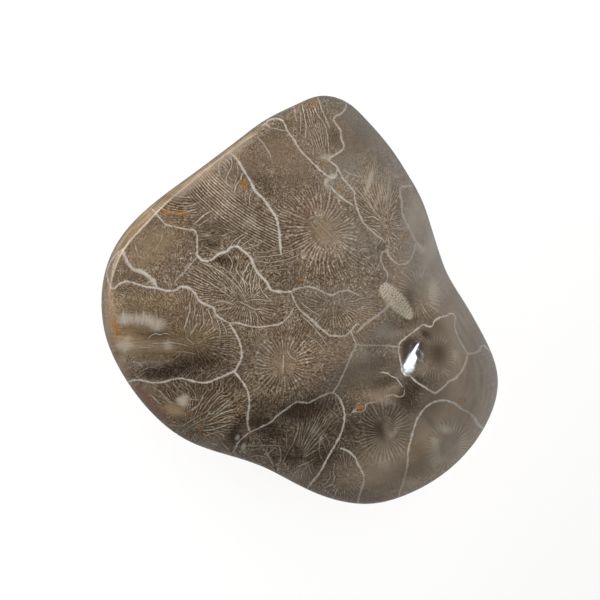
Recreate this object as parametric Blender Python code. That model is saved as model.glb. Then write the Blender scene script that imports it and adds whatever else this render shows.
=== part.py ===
"""Polished fossil coral: one natural stone, ground and polished to a free form with soft dips and lobes.

Metres, +Z up. The stone lies on a small flat spot on its underside, which is centred under its weight.
The outline, the height of the top and the shape of the edge are smooth functions of hand-placed points,
and the skin is a stack of closed rings that runs from the crown, over the rim, down to the flat spot.
"""

import math

import bmesh
import bpy
import numpy as np

MM = 0.001

# Outline seen from above, counter-clockwise, in millimetres from the middle of the stone's box.
OUTLINE = (
    (32.9, -0.5), (29.7, 4.8), (27.8, 9.7), (26.2, 14.8), (24.3, 20.2), (21.4, 25.4), (17.8, 30.8),
    (13.1, 36.2), (10.1, 39.0), (6.9, 40.5), (3.4, 40.6), (-0.3, 39.1), (-6.7, 35.7), (-12.0, 31.7),
    (-16.7, 28.1), (-21.4, 24.6), (-26.1, 21.2), (-30.9, 17.3), (-35.4, 12.4), (-38.5, 6.3),
    (-39.6, -0.5), (-38.8, -7.3), (-36.2, -13.6), (-32.6, -19.2), (-28.3, -24.0), (-23.2, -27.8),
    (-17.4, -30.2), (-11.7, -31.9), (-6.2, -34.0), (-0.3, -37.1), (6.6, -39.9), (14.4, -40.8),
    (21.8, -38.8), (28.6, -34.9), (34.2, -29.5), (38.2, -22.8), (39.5, -15.0), (36.6, -7.0),
)
HUB = (-0.3, -0.5)  # every ray from here meets the outline once

# Height of the top above the flat spot: (x, y, height) in millimetres, joined by one thin smooth sheet.
TOP = (
    (-22.0, 14.0, 29.4), (-11.0, 20.0, 30.6), (0.0, 24.0, 31.0), (5.0, 33.0, 30.0), (0.0, 10.0, 32.2),
    (-12.0, 4.0, 31.6), (-25.0, 7.0, 29.8), (10.0, 21.0, 31.0), (11.0, 9.0, 31.6), (17.0, 21.0, 29.2),
    (14.0, 31.0, 28.2), (20.0, 13.0, 28.8), (24.0, 10.0, 27.2), (8.0, 0.0, 31.6), (-4.0, -4.0, 31.8),
    (-4.0, -12.0, 31.2), (5.0, -8.0, 31.2), (16.0, 3.0, 30.2), (21.0, 3.0, 28.6), (16.5, -4.0, 29.4),
    (12.5, -9.0, 29.8), (5.0, -14.5, 30.0), (-3.0, -18.5, 29.4), (-10.0, -19.5, 28.6),
    (-31.0, 2.0, 28.6), (-31.0, -5.0, 28.4), (-20.0, -6.0, 30.0), (-13.0, -8.0, 30.6),
    (-31.0, -9.5, 27.6), (-20.0, -9.8, 29.0), (-31.0, -14.5, 24.2), (-22.0, -14.8, 25.6), (-14.0, -15.5, 28.0),
    (-26.0, -20.0, 23.6), (-19.0, -20.5, 25.4), (-13.0, -26.0, 24.6), (-20.0, -25.0, 23.4),
    (-10.0, -25.5, 25.2), (-2.0, -25.0, 25.2), (-2.0, -30.0, 23.4), (3.0, -21.5, 26.6), (9.0, -18.5, 26.8),
    (14.5, -14.8, 26.9), (17.4, -11.4, 26.5), (18.6, -6.4, 26.6), (23.5, -1.0, 26.6), (26.0, 4.0, 26.0),
    (11.0, -23.5, 26.8), (17.0, -20.5, 27.9), (24.0, -16.6, 29.2), (25.2, -10.6, 28.5), (30.5, -5.0, 27.0),
    (33.0, -8.0, 26.4), (6.0, -27.0, 25.0), (6.0, -33.0, 23.6), (14.0, -26.0, 26.0), (21.0, -23.5, 27.2),
    (27.0, -20.0, 28.0), (33.0, -16.0, 27.0), (22.0, -29.0, 26.4), (29.0, -27.0, 26.6), (15.0, -33.0, 24.6),
    (36.0, -16.0, 25.6),
)
SHEET_STIFFNESS = 1.5

# Around the edge: (angle in degrees, height of the widest level, width of the rounded band, its sharpness,
# fullness of the side below the widest level). The upper left edge is a narrow bevel with a crisp inner line.
EDGE = (
    (0, 13.5, 9.5, 1.75, 2.05), (25, 13.2, 9.0, 1.7, 2.05), (48, 13.5, 8.5, 1.75, 2.05), (70, 13.8, 6.2, 1.8, 2.05),
    (84, 14.6, 4.4, 1.7, 2.1), (96, 19.0, 2.6, 1.55, 2.3), (108, 23.3, 1.4, 1.4, 2.5), (120, 24.2, 1.1, 1.35, 2.6),
    (132, 24.2, 1.4, 1.35, 2.6), (144, 24.0, 1.9, 1.35, 2.6), (155, 22.6, 2.45, 1.35, 2.5),
    (166, 19.5, 2.2, 1.45, 2.35), (178, 15.0, 3.2, 1.7, 2.15), (192, 13.4, 5.5, 1.9, 2.05), (212, 12.5, 8.0, 2.0, 2.05),
    (232, 12.0, 8.0, 2.0, 2.05), (255, 12.0, 8.5, 2.0, 2.05), (280, 12.0, 8.5, 1.95, 2.05),
    (310, 12.5, 8.5, 1.85, 2.05), (335, 13.0, 8.8, 1.8, 2.05),
)

# The flat spot and the belly round it.
SPOT_CENTRE = (-0.4, -1.2)
SPOT_RADII = (12.5, 11.0)

SEGMENTS = 100
CROWN_RINGS = 19
BAND_RINGS = 8
BELLY_RINGS = 13



def band_bend(angle):
    """Above 1 draws the rings of the band towards its outer edge, below 1 towards its inner line."""
    return np.clip(0.22 * edge(angle, 2) + 0.2, 0.6, 1.5)


def closed_curve(knots, values, at):
    """Closed cubic curve through values at the rising knots, which repeat every full turn."""
    count = len(knots)
    turn = 2 * math.pi
    gap = np.diff(np.append(knots, knots[0] + turn))
    system = np.zeros((count, count))
    right = np.zeros(count)
    for i in range(count):
        before = gap[i - 1]
        after = gap[i]
        system[i, i - 1] += before
        system[i, i] += 2 * (before + after)
        system[i, (i + 1) % count] += after
        right[i] = 6 * (
            (values[(i + 1) % count] - values[i]) / after - (values[i] - values[i - 1]) / before
        )
    bend = np.linalg.solve(system, right)
    place = (np.asarray(at, float) - knots[0]) % turn
    index = np.clip(np.searchsorted(np.cumsum(gap), place, side="right"), 0, count - 1)
    start = np.concatenate([[0.0], np.cumsum(gap)[:-1]])[index]
    step = gap[index]
    b = (place - start) / step
    a = 1 - b
    following = (index + 1) % count
    return (
        a * values[index]
        + b * values[following]
        + ((a**3 - a) * bend[index] + (b**3 - b) * bend[following]) * step**2 / 6
    )


def outline_curve():
    """Knots and radii of the outline about the hub."""
    points = np.array(OUTLINE) - HUB
    angles = np.arctan2(points[:, 1], points[:, 0]) % (2 * math.pi)
    order = np.argsort(angles)
    return angles[order], np.hypot(points[:, 0], points[:, 1])[order]


OUTLINE_KNOTS, OUTLINE_RADII = outline_curve()
EDGE_TABLE = np.array(EDGE, float)
EDGE_KNOTS = np.radians(EDGE_TABLE[:, 0])


def radius(angle):
    return closed_curve(OUTLINE_KNOTS, OUTLINE_RADII, angle)


def edge(angle, column):
    return closed_curve(EDGE_KNOTS, EDGE_TABLE[:, column], angle)


def spread(squared):
    """The sheet's own curve between two points, by the square of their distance."""
    return 0.5 * squared * np.log(np.maximum(squared, 1e-9))


def sheet():
    """Weights of the smooth sheet through the heights of the top."""
    table = np.array(TOP, float)
    places = table[:, :2]
    count = len(places)
    squared = ((places[:, None] - places[None]) ** 2).sum(2)
    system = np.zeros((count + 3, count + 3))
    system[:count, :count] = spread(squared) + SHEET_STIFFNESS * np.eye(count)
    system[:count, count] = 1
    system[:count, count + 1 :] = places
    system[count:, :count] = system[:count, count:].T
    return places, np.linalg.solve(system, np.append(table[:, 2], [0.0, 0.0, 0.0]))


PLACES, WEIGHTS = sheet()


def top_height(x, y):
    squared = (x[..., None] - PLACES[:, 0]) ** 2 + (y[..., None] - PLACES[:, 1]) ** 2
    count = len(PLACES)
    return (
        spread(squared) @ WEIGHTS[:count]
        + WEIGHTS[count]
        + WEIGHTS[count + 1] * x
        + WEIGHTS[count + 2] * y
    )


def crown_ring(angle, share):
    """Ring inside the rounded band: share runs from 0 at the hub to 1 where the band starts."""
    reach = share * (radius(angle) - edge(angle, 2))
    x = HUB[0] + reach * np.cos(angle)
    y = HUB[1] + reach * np.sin(angle)
    return x, y, top_height(x, y)


def band_ring(angle, turn):
    """Ring on the rounded band: turn runs from 0 at its inner edge to 1 at the widest level."""
    lean = math.pi / 2 * (1 - turn)
    out = np.cos(lean) ** (2 / edge(angle, 3))
    full = radius(angle)
    reach = full - edge(angle, 2) * (1 - out)
    x = HUB[0] + reach * np.cos(angle)
    y = HUB[1] + reach * np.sin(angle)
    level = edge(angle, 1)
    return x, y, level + (top_height(x, y) - level) * np.sin(lean)


def belly_ring(angle, turn):
    """Ring on the underside: turn runs from 0 at the widest level to 1 at the flat spot."""
    lean = math.pi / 2 * turn
    spot_x = SPOT_CENTRE[0] + SPOT_RADII[0] * np.cos(angle)
    spot_y = SPOT_CENTRE[1] + SPOT_RADII[1] * np.sin(angle)
    full = radius(angle)
    rim_x = HUB[0] + full * np.cos(angle)
    rim_y = HUB[1] + full * np.sin(angle)
    out = math.cos(lean) ** (2 / edge(angle, 4))
    x = spot_x + (rim_x - spot_x) * out
    y = spot_y + (rim_y - spot_y) * out
    return x, y, edge(angle, 1) * (1 - math.sin(lean))


def build_stone():
    angle = np.linspace(0, 2 * math.pi, SEGMENTS, endpoint=False)
    rings = [crown_ring(angle, (i + 1) / CROWN_RINGS) for i in range(CROWN_RINGS)]
    rings += [band_ring(angle, ((i + 1) / BAND_RINGS) ** (1 / band_bend(angle))) for i in range(BAND_RINGS)]
    rings += [belly_ring(angle, (i + 1) / BELLY_RINGS) for i in range(BELLY_RINGS)]

    mesh = bmesh.new()
    hub_x, hub_y = np.array([HUB[0]]), np.array([HUB[1]])
    crown = mesh.verts.new((HUB[0] * MM, HUB[1] * MM, float(top_height(hub_x, hub_y)[0]) * MM))
    loops = []
    for x, y, z in rings:
        loops.append([mesh.verts.new((px * MM, py * MM, pz * MM)) for px, py, pz in zip(x, y, z)])
    spot = mesh.verts.new((SPOT_CENTRE[0] * MM, SPOT_CENTRE[1] * MM, 0.0))
    for vertex in loops[-1]:
        vertex.co.z = 0.0

    for i in range(SEGMENTS):
        j = (i + 1) % SEGMENTS
        mesh.faces.new((crown, loops[0][i], loops[0][j]))
        for inner, outer in zip(loops, loops[1:]):
            mesh.faces.new((inner[i], outer[i], outer[j], inner[j]))
        mesh.faces.new((spot, loops[-1][j], loops[-1][i]))
    for face in mesh.faces:
        face.smooth = not all(vertex.co.z == 0.0 for vertex in face.verts)
    bmesh.ops.recalc_face_normals(mesh, faces=mesh.faces)

    data = bpy.data.meshes.new("coral_stone")
    mesh.to_mesh(data)
    mesh.free()
    stone = bpy.data.objects.new("coral_stone", data)
    bpy.context.scene.collection.objects.link(stone)
    return stone


def polished_coral():
    material = bpy.data.materials.new("polished_coral")
    material.use_nodes = True
    shader = material.node_tree.nodes["Principled BSDF"]
    shader.inputs["Base Color"].default_value = (0.175, 0.135, 0.098, 1.0)
    shader.inputs["Roughness"].default_value = 0.18
    shader.inputs["Metallic"].default_value = 0.0
    material.diffuse_color = (0.175, 0.135, 0.098, 1.0)
    return material


for thing in list(bpy.data.objects):
    bpy.data.objects.remove(thing, do_unlink=True)
build_stone().data.materials.append(polished_coral())
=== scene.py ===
import heapq
import math

import bpy
import numpy as np
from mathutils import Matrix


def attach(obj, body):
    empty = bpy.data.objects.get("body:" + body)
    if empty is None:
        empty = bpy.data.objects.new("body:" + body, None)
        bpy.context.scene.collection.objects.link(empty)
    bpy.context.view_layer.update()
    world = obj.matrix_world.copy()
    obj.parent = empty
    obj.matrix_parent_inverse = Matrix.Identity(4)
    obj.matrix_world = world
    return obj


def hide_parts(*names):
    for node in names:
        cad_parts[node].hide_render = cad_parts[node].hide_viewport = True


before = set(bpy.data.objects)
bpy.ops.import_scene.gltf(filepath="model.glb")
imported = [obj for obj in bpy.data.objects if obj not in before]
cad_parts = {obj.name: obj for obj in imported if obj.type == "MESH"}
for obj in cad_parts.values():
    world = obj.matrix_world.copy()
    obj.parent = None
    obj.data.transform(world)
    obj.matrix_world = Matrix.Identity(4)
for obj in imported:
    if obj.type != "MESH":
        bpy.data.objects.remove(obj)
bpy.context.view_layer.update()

MM = 0.001

# ---------------------------------------------------------------------------------------------
# Shape of the stone. The same outline, sheet, edge and belly as the solid, in millimetres.
# ---------------------------------------------------------------------------------------------

OUTLINE = (
    (32.9, -0.5), (29.7, 4.8), (27.8, 9.7), (26.2, 14.8), (24.3, 20.2), (21.4, 25.4), (17.8, 30.8),
    (13.1, 36.2), (10.1, 39.0), (6.9, 40.5), (3.4, 40.6), (-0.3, 39.1), (-6.7, 35.7), (-12.0, 31.7),
    (-16.7, 28.1), (-21.4, 24.6), (-26.1, 21.2), (-30.9, 17.3), (-35.4, 12.4), (-38.5, 6.3),
    (-39.6, -0.5), (-38.8, -7.3), (-36.2, -13.6), (-32.6, -19.2), (-28.3, -24.0), (-23.2, -27.8),
    (-17.4, -30.2), (-11.7, -31.9), (-6.2, -34.0), (-0.3, -37.1), (6.6, -39.9), (14.4, -40.8),
    (21.8, -38.8), (28.6, -34.9), (34.2, -29.5), (38.2, -22.8), (39.5, -15.0), (36.6, -7.0),
)
HUB = (-0.3, -0.5)
TOP = (
    (-22.0, 14.0, 29.4), (-11.0, 20.0, 30.6), (0.0, 24.0, 31.0), (5.0, 33.0, 30.0), (0.0, 10.0, 32.2),
    (-12.0, 4.0, 31.6), (-25.0, 7.0, 29.8), (10.0, 21.0, 31.0), (11.0, 9.0, 31.6), (17.0, 21.0, 29.2),
    (14.0, 31.0, 28.2), (20.0, 13.0, 28.8), (24.0, 10.0, 27.2), (8.0, 0.0, 31.6), (-4.0, -4.0, 31.8),
    (-4.0, -12.0, 31.2), (5.0, -8.0, 31.2), (16.0, 3.0, 30.2), (21.0, 3.0, 28.6), (16.5, -4.0, 29.4),
    (12.5, -9.0, 29.8), (5.0, -14.5, 30.0), (-3.0, -18.5, 29.4), (-10.0, -19.5, 28.6),
    (-31.0, 2.0, 28.6), (-31.0, -5.0, 28.4), (-20.0, -6.0, 30.0), (-13.0, -8.0, 30.6),
    (-31.0, -9.5, 27.6), (-20.0, -9.8, 29.0), (-31.0, -14.5, 24.2), (-22.0, -14.8, 25.6), (-14.0, -15.5, 28.0),
    (-26.0, -20.0, 23.6), (-19.0, -20.5, 25.4), (-13.0, -26.0, 24.6), (-20.0, -25.0, 23.4),
    (-10.0, -25.5, 25.2), (-2.0, -25.0, 25.2), (-2.0, -30.0, 23.4), (3.0, -21.5, 26.6), (9.0, -18.5, 26.8),
    (14.5, -14.8, 26.9), (17.4, -11.4, 26.5), (18.6, -6.4, 26.6), (23.5, -1.0, 26.6), (26.0, 4.0, 26.0),
    (11.0, -23.5, 26.8), (17.0, -20.5, 27.9), (24.0, -16.6, 29.2), (25.2, -10.6, 28.5), (30.5, -5.0, 27.0),
    (33.0, -8.0, 26.4), (6.0, -27.0, 25.0), (6.0, -33.0, 23.6), (14.0, -26.0, 26.0), (21.0, -23.5, 27.2),
    (27.0, -20.0, 28.0), (33.0, -16.0, 27.0), (22.0, -29.0, 26.4), (29.0, -27.0, 26.6), (15.0, -33.0, 24.6),
    (36.0, -16.0, 25.6),
)
SHEET_STIFFNESS = 1.5
EDGE = (
    (0, 13.5, 9.5, 1.75, 2.05), (25, 13.2, 9.0, 1.7, 2.05), (48, 13.5, 8.5, 1.75, 2.05), (70, 13.8, 6.2, 1.8, 2.05),
    (84, 14.6, 4.4, 1.7, 2.1), (96, 19.0, 2.6, 1.55, 2.3), (108, 23.3, 1.4, 1.4, 2.5), (120, 24.2, 1.1, 1.35, 2.6),
    (132, 24.2, 1.4, 1.35, 2.6), (144, 24.0, 1.9, 1.35, 2.6), (155, 22.6, 2.45, 1.35, 2.5),
    (166, 19.5, 2.2, 1.45, 2.35), (178, 15.0, 3.2, 1.7, 2.15), (192, 13.4, 5.5, 1.9, 2.05), (212, 12.5, 8.0, 2.0, 2.05),
    (232, 12.0, 8.0, 2.0, 2.05), (255, 12.0, 8.5, 2.0, 2.05), (280, 12.0, 8.5, 1.95, 2.05),
    (310, 12.5, 8.5, 1.85, 2.05), (335, 13.0, 8.8, 1.8, 2.05),
)
SPOT_CENTRE = (-0.4, -1.2)
SPOT_RADII = (12.5, 11.0)

GRID = 120          # rings of the top, eight more points on each
GRID_CROWN = 103    # how many of them lie inside the rounded band
BELLY_RINGS = 40


def closed_curve(knots, values, at):
    count = len(knots)
    turn = 2 * math.pi
    gap = np.diff(np.append(knots, knots[0] + turn))
    system = np.zeros((count, count))
    right = np.zeros(count)
    for i in range(count):
        before = gap[i - 1]
        after = gap[i]
        system[i, i - 1] += before
        system[i, i] += 2 * (before + after)
        system[i, (i + 1) % count] += after
        right[i] = 6 * (
            (values[(i + 1) % count] - values[i]) / after - (values[i] - values[i - 1]) / before
        )
    bend = np.linalg.solve(system, right)
    place = (np.asarray(at, float) - knots[0]) % turn
    index = np.clip(np.searchsorted(np.cumsum(gap), place, side="right"), 0, count - 1)
    start = np.concatenate([[0.0], np.cumsum(gap)[:-1]])[index]
    step = gap[index]
    b = (place - start) / step
    a = 1 - b
    following = (index + 1) % count
    return (
        a * values[index]
        + b * values[following]
        + ((a**3 - a) * bend[index] + (b**3 - b) * bend[following]) * step**2 / 6
    )


def outline_curve():
    points = np.array(OUTLINE) - HUB
    angles = np.arctan2(points[:, 1], points[:, 0]) % (2 * math.pi)
    order = np.argsort(angles)
    return angles[order], np.hypot(points[:, 0], points[:, 1])[order]


OUTLINE_KNOTS, OUTLINE_RADII = outline_curve()
EDGE_TABLE = np.array(EDGE, float)
EDGE_KNOTS = np.radians(EDGE_TABLE[:, 0])


def radius(angle):
    return closed_curve(OUTLINE_KNOTS, OUTLINE_RADII, angle)


def edge(angle, column):
    return closed_curve(EDGE_KNOTS, EDGE_TABLE[:, column], angle)


def spread(squared):
    return 0.5 * squared * np.log(np.maximum(squared, 1e-9))


def sheet():
    table = np.array(TOP, float)
    places = table[:, :2]
    count = len(places)
    squared = ((places[:, None] - places[None]) ** 2).sum(2)
    system = np.zeros((count + 3, count + 3))
    system[:count, :count] = spread(squared) + SHEET_STIFFNESS * np.eye(count)
    system[:count, count] = 1
    system[:count, count + 1 :] = places
    system[count:, :count] = system[:count, count:].T
    return places, np.linalg.solve(system, np.append(table[:, 2], [0.0, 0.0, 0.0]))


PLACES, WEIGHTS = sheet()


def top_height(x, y):
    squared = (x[..., None] - PLACES[:, 0]) ** 2 + (y[..., None] - PLACES[:, 1]) ** 2
    count = len(PLACES)
    return (
        spread(squared) @ WEIGHTS[:count]
        + WEIGHTS[count]
        + WEIGHTS[count + 1] * x
        + WEIGHTS[count + 2] * y
    )


def top_points():
    """The top as one square net wrapped on the round: ring k of the net is ring k of the stone."""
    n = GRID
    i, j = np.meshgrid(np.arange(-n, n + 1), np.arange(-n, n + 1), indexing="ij")
    ring = np.maximum(abs(i), abs(j))
    # place along the square ring, counted from its right side upwards
    walk = np.select(
        [(i == ring) & (j > -ring), (j == ring) & (i < ring), (i == -ring) & (j < ring)],
        [j, 2 * ring - i, 4 * ring - j],
        6 * ring + i,
    )
    angle = np.where(ring > 0, walk / np.maximum(ring, 1) * (math.pi / 4), 0.0).astype(float)
    flat_angle = angle.ravel()
    full = radius(flat_angle).reshape(angle.shape)
    level = edge(flat_angle, 1).reshape(angle.shape)
    width = edge(flat_angle, 2).reshape(angle.shape)
    sharp = edge(flat_angle, 3).reshape(angle.shape)
    share = np.minimum(ring / GRID_CROWN, 1.0)
    bend = np.clip(0.22 * width + 0.2, 0.6, 1.5)
    turn = np.clip((ring - GRID_CROWN) / (n - GRID_CROWN), 0, 1) ** (1 / bend)
    lean = math.pi / 2 * (1 - turn)
    out = np.cos(lean) ** (2 / sharp)
    out[ring <= GRID_CROWN] = 0
    reach = np.where(ring <= GRID_CROWN, share * (full - width), full - width * (1 - out))
    x = HUB[0] + reach * np.cos(angle)
    y = HUB[1] + reach * np.sin(angle)
    top = top_height(x.ravel(), y.ravel()).reshape(x.shape)
    z = level + (top - level) * np.where(ring <= GRID_CROWN, 1.0, np.sin(lean))
    return x, y, z, ring, angle


def belly_ring(angle, turn):
    lean = math.pi / 2 * turn
    spot_x = SPOT_CENTRE[0] + SPOT_RADII[0] * np.cos(angle)
    spot_y = SPOT_CENTRE[1] + SPOT_RADII[1] * np.sin(angle)
    full = radius(angle)
    rim_x = HUB[0] + full * np.cos(angle)
    rim_y = HUB[1] + full * np.sin(angle)
    out = math.cos(lean) ** (2 / edge(angle, 4))
    x = spot_x + (rim_x - spot_x) * out
    y = spot_y + (rim_y - spot_y) * out
    return x, y, edge(angle, 1) * (1 - math.sin(lean))


def smooth(low, high, value):
    t = np.clip((value - low) / (high - low), 0, 1)
    return t * t * (3 - 2 * t)


# ---------------------------------------------------------------------------------------------
# Pattern plane. Markings are placed in a 600 by 600 plane seen from straight above: five units are
# one millimetre at the widest level, u runs to the right and v runs towards the viewer.
# ---------------------------------------------------------------------------------------------

EYE = 680.5
RIM = 13.5


def plane_of(x, y, z):
    scale = 5 * (EYE - RIM) / (EYE - z)
    return 300 + x * scale, 300 - y * scale


# Walls and veins: half width, strength, points.
WALLS = (
    (1.25, 0.88, ((262, 125), (265.5, 123.5), (270.2, 119.5), (278.2, 118.8), (283.6, 122.2), (287.6, 130.9), (294.3, 140.3), (301, 151), (310.4, 160.4), (318.4, 168.4), (325.1, 174.4), (331.8, 177.8), (335.8, 175.8), (336.5, 171.1))),
    (1.0, 0.6, ((265.5, 123.5), (270.2, 127.5), (279.6, 129.6), (287.6, 130.9))),
    (1.2, 0.85, ((348, 96), (346.5, 104.1), (345.2, 108.8), (341.2, 113.5), (335.8, 116.2), (333.8, 120.2), (337.1, 125.5), (340.5, 130.9), (341.2, 137.6), (343.8, 145.6), (342.5, 149.6), (335.8, 154.3), (329.8, 157.7), (329.1, 160.4))),
    (1.2, 0.85, ((329.1, 160.4), (335.8, 165.7), (339.8, 172.4), (343.8, 179.8), (350.5, 187.1), (353.9, 192.5), (355.2, 200.5), (357.2, 208.6), (360.6, 216.6), (363.9, 223.3), (370.6, 230), (377.3, 235.4), (384, 240.7))),
    (1.3, 0.9, ((329.8, 185.8), (335.8, 192.5), (343.8, 199.2), (351.9, 204.6))),
    (1.5, 0.85, ((410.8, 185.8), (405.4, 186.5), (400.8, 187.1), (400.1, 193.8), (402.1, 201.9), (402.1, 209.9), (404.1, 217.9), (409.5, 228.7), (413.5, 236.7), (417.5, 243.4), (422.9, 250.1))),
    (1.2, 0.80, ((415.5, 243.4), (413.5, 252.8), (409.5, 260.8), (402.8, 264.2), (396.1, 262.8), (389.4, 256.8), (387.4, 250.1))),
    (1.1, 0.60, ((387.4, 250.1), (382, 252.8), (380.7, 259.5), (384, 267.5), (387.4, 272.9), (386.7, 280.9), (384, 286.3))),
    (1.75, 1.0, ((229.4, 152.6), (232, 154.6), (236.7, 159), (243.4, 169.7), (250.1, 180.4), (255.4, 191.2), (263.5, 199.2), (270.2, 208.6), (276.2, 217.9), (278.2, 226), (279.6, 234), (280.2, 244.7), (280.9, 252.8))),
    (0.8, 0.55, ((258.8, 138.3), (264.8, 145.6), (269.5, 153.7), (270.8, 157.7))),
    (1.1, 0.8, ((152.6, 209.4), (155, 212), (159.6, 217.9), (166.3, 224.6), (175.7, 226.7), (183.8, 228.7), (194.5, 230.7), (197.1, 238), (197.1, 247.4), (197.1, 255.4))),
    (1.75, 1.0, ((197.1, 255.4), (203.8, 260.8), (211.9, 259.5), (218.6, 254.1), (226.6, 251.4), (230.6, 247.4), (237.3, 246.7), (244, 251.4), (250.7, 258.1), (254.7, 267.5), (260.1, 275.5), (266.8, 282.2), (272.4, 290.5), (290.6, 291.9))),
    (0.85, 0.5, ((197.1, 256.8), (186, 270), (175.7, 280.9), (177, 285))),
    (1.45, 0.88, ((111.2, 287.6), (114.1, 288.4), (119.5, 283.9), (126.2, 281.5), (135.5, 283.5), (146.3, 286.8), (157, 288.2), (167.7, 290.8), (175.7, 290.2), (181.1, 286.8), (187.8, 287.5), (194.5, 292.9), (199.8, 300.9), (206.5, 304.9), (213.2, 307.6), (215.9, 314.3), (222.6, 319.6), (229.3, 323))),
    (2.7, 0.85, ((123, 250), (123.8, 253.2), (127.5, 262.1), (132.9, 268.8), (140.9, 271.4), (147.6, 275.4), (153.6, 280.8), (156.3, 286.2))),
    (0.95, 0.75, ((124, 249.6), (119, 251.6), (113.6, 257), (109.6, 263.5), (107.2, 270.5), (106.8, 275.5), (108.6, 282), (111.2, 287.6))),
    (0.85, 0.6, ((119.5, 253), (116, 259), (113.6, 265.5), (112.2, 272.5), (111.6, 280.5))),
    (1.15, 0.88, ((229.3, 323), (237.3, 323), (248, 325.7), (258.8, 327), (270.8, 325.7), (280.2, 323.7), (288.2, 317), (292.9, 309.6))),
    (1.3, 0.92, ((229.3, 323), (234.6, 331.7), (239.3, 341.1), (241.3, 349.1), (241.3, 358.5), (237.3, 366.5), (234, 371.2), (225.3, 375.2), (215.9, 379.2), (206.5, 382.6), (197.1, 381.9), (187.8, 379.9), (181.1, 378.6), (173, 379.2), (163.7, 381.9), (152.9, 382.6), (143.6, 380.6), (134.2, 379.9), (126, 383), (116, 387))),
    (1.3, 0.9, ((234, 371.2), (240, 378.6), (245.4, 386.6), (248.7, 394.6), (249.4, 404), (248, 413.4), (247.4, 422.8), (249.4, 430.8))),
    (1.15, 0.9, ((233, 452), (235.4, 448), (238, 442.6), (242, 438.6), (249.4, 432.5), (259.5, 427.9), (270.2, 422.5), (276.9, 415.8), (286.2, 409.1), (295.6, 402.4), (302.3, 402.4), (309, 402.4), (317.1, 398.4), (323.8, 395), (332.5, 392.4))),
    (1.15, 0.88, ((332.5, 392.4), (337.1, 386.3), (342.5, 375.6), (347.9, 363.6), (351.9, 352.9), (355.9, 344.8), (353.2, 336.8), (351.2, 330.8), (355.9, 324.7))),
    (1.05, 0.82, ((355.9, 344.8), (366.6, 345.5), (377.3, 345.2), (388, 345.9), (398.8, 346.8))),
    (1.15, 0.82, ((398.7, 346.7), (399.9, 342.9), (406, 337.5), (412.1, 332.9), (418.3, 328.3), (422.9, 324.9), (427.4, 326), (432, 326), (434.3, 321.4), (438.2, 318.4), (442.8, 316.5), (446.6, 315.7), (449.6, 313.8), (453.5, 314.5), (455.8, 318.4))),
    (1.0, 0.6, ((455.8, 318.4), (455, 320.7), (454.6, 326), (456.5, 332.9), (459.6, 339.8), (463.4, 346.7), (467.2, 352.8))),
    (1.35, 0.80, ((467.2, 352.8), (466.9, 358.9), (464.2, 366.6), (460.4, 372.7), (455, 378.8), (450.4, 380.4), (445.8, 384.9), (440.5, 389.5), (435.9, 392.6), (431.3, 391.5), (425.9, 388), (419.8, 384.2), (414.4, 380.4), (409.8, 375.8))),
    (1.0, 0.7, ((409.8, 375.8), (405.3, 375), (402.2, 370.4), (400.7, 361.2), (398.7, 352), (398.7, 346.7))),
    (1.45, 0.7, ((467.2, 353.2), (471.8, 353.6), (476.4, 352), (479.5, 349.7), (481.8, 345.9), (484.8, 346.3), (487.9, 349), (496, 356))),
    (1.25, 0.86, ((332.5, 392.4), (338.5, 397.1), (342.5, 405.1), (344.5, 414.5), (343.8, 423.8), (341.2, 433.2), (337.1, 441.3), (331.8, 450.6), (326.4, 460), (322.4, 468), (317.1, 476.1), (313.7, 480.1), (306, 490))),
    (1.35, 0.82, ((341.2, 448.6), (349.2, 452), (354.6, 457.3), (358.6, 465.4), (362.6, 473.4), (363.9, 480.1), (361.9, 488.1), (359.2, 496.2), (357.9, 502.9), (357, 512))),
    (1.3, 0.82, ((397, 507), (398.8, 497.5), (400.1, 490.8), (402.8, 484.1), (405.5, 473.4), (407.5, 464), (408.1, 452), (410.8, 439.9), (414.1, 427.9), (417.5, 418.5), (421.3, 412.5), (425.9, 407.1), (432, 402.9), (438.2, 401), (445, 400.3), (450.4, 401.8), (456.5, 404.8), (461.1, 408.7), (467.2, 411.7), (471.8, 414.8), (475.7, 419.4), (478, 424.5), (482.7, 427.9), (490, 433))),
    (0.8, 0.85, ((381.3, 372.3), (387.0, 373.3), (391.5, 376.0), (396.1, 378.3), (399.1, 382.0), (401.5, 385.5))),
    (0.9, 0.55, ((404.5, 391.0), (403.5, 395.2), (399.0, 396.8), (393.0, 395.0), (386.0, 396.3))),
    (0.9, 0.45, ((376.0, 402.0), (370.3, 402.8), (366.0, 404.5), (365.0, 409.5), (361.0, 412.0), (356.0, 411.5), (351.9, 412.5))),
    (1.2, 0.72, ((290.6, 291.9), (296, 289), (303.3, 287.1), (308, 286.5), (316.1, 288.5), (324.1, 292.5), (332.1, 295.2), (338.8, 291.8), (346.9, 290.5), (353.6, 292.5), (358.9, 295.2))),
    (1.25, 0.85, ((290.6, 291.9), (296.3, 304.5), (300, 309.9), (308, 316.6), (316.1, 324.6), (322.8, 330), (329.5, 335.4), (337.5, 336), (345.5, 335.4), (350.9, 330), (357.6, 324))),
    (2.2, 0.75, ((310, 318.6), (315, 323.4), (320, 327.6))),
    (1.9, 0.8, ((391.1, 303.2), (385.7, 308.6), (377.7, 315.3), (369.6, 320.6), (361.6, 327.3), (357.6, 331.3))),
    (1.1, 0.5, ((290, 105), (294.5, 108.5), (295.5, 116), (297, 122))),
    (2.2, 0.80, ((471, 414.2), (475, 418.6), (478, 424), (483, 428.5))),
    (1.9, 0.55, ((448.5, 381.5), (454.5, 378.5), (460, 373.2))),
    (1.2, 0.55, ((317.5, 97), (320, 104), (323, 112), (327, 121), (329, 127))),
    (1.0, 0.5, ((327, 178), (325, 184), (330, 190), (329, 197))),
    (0.8, 0.42, ((344, 170), (350, 174), (358, 176), (364, 178))),
)

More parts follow.
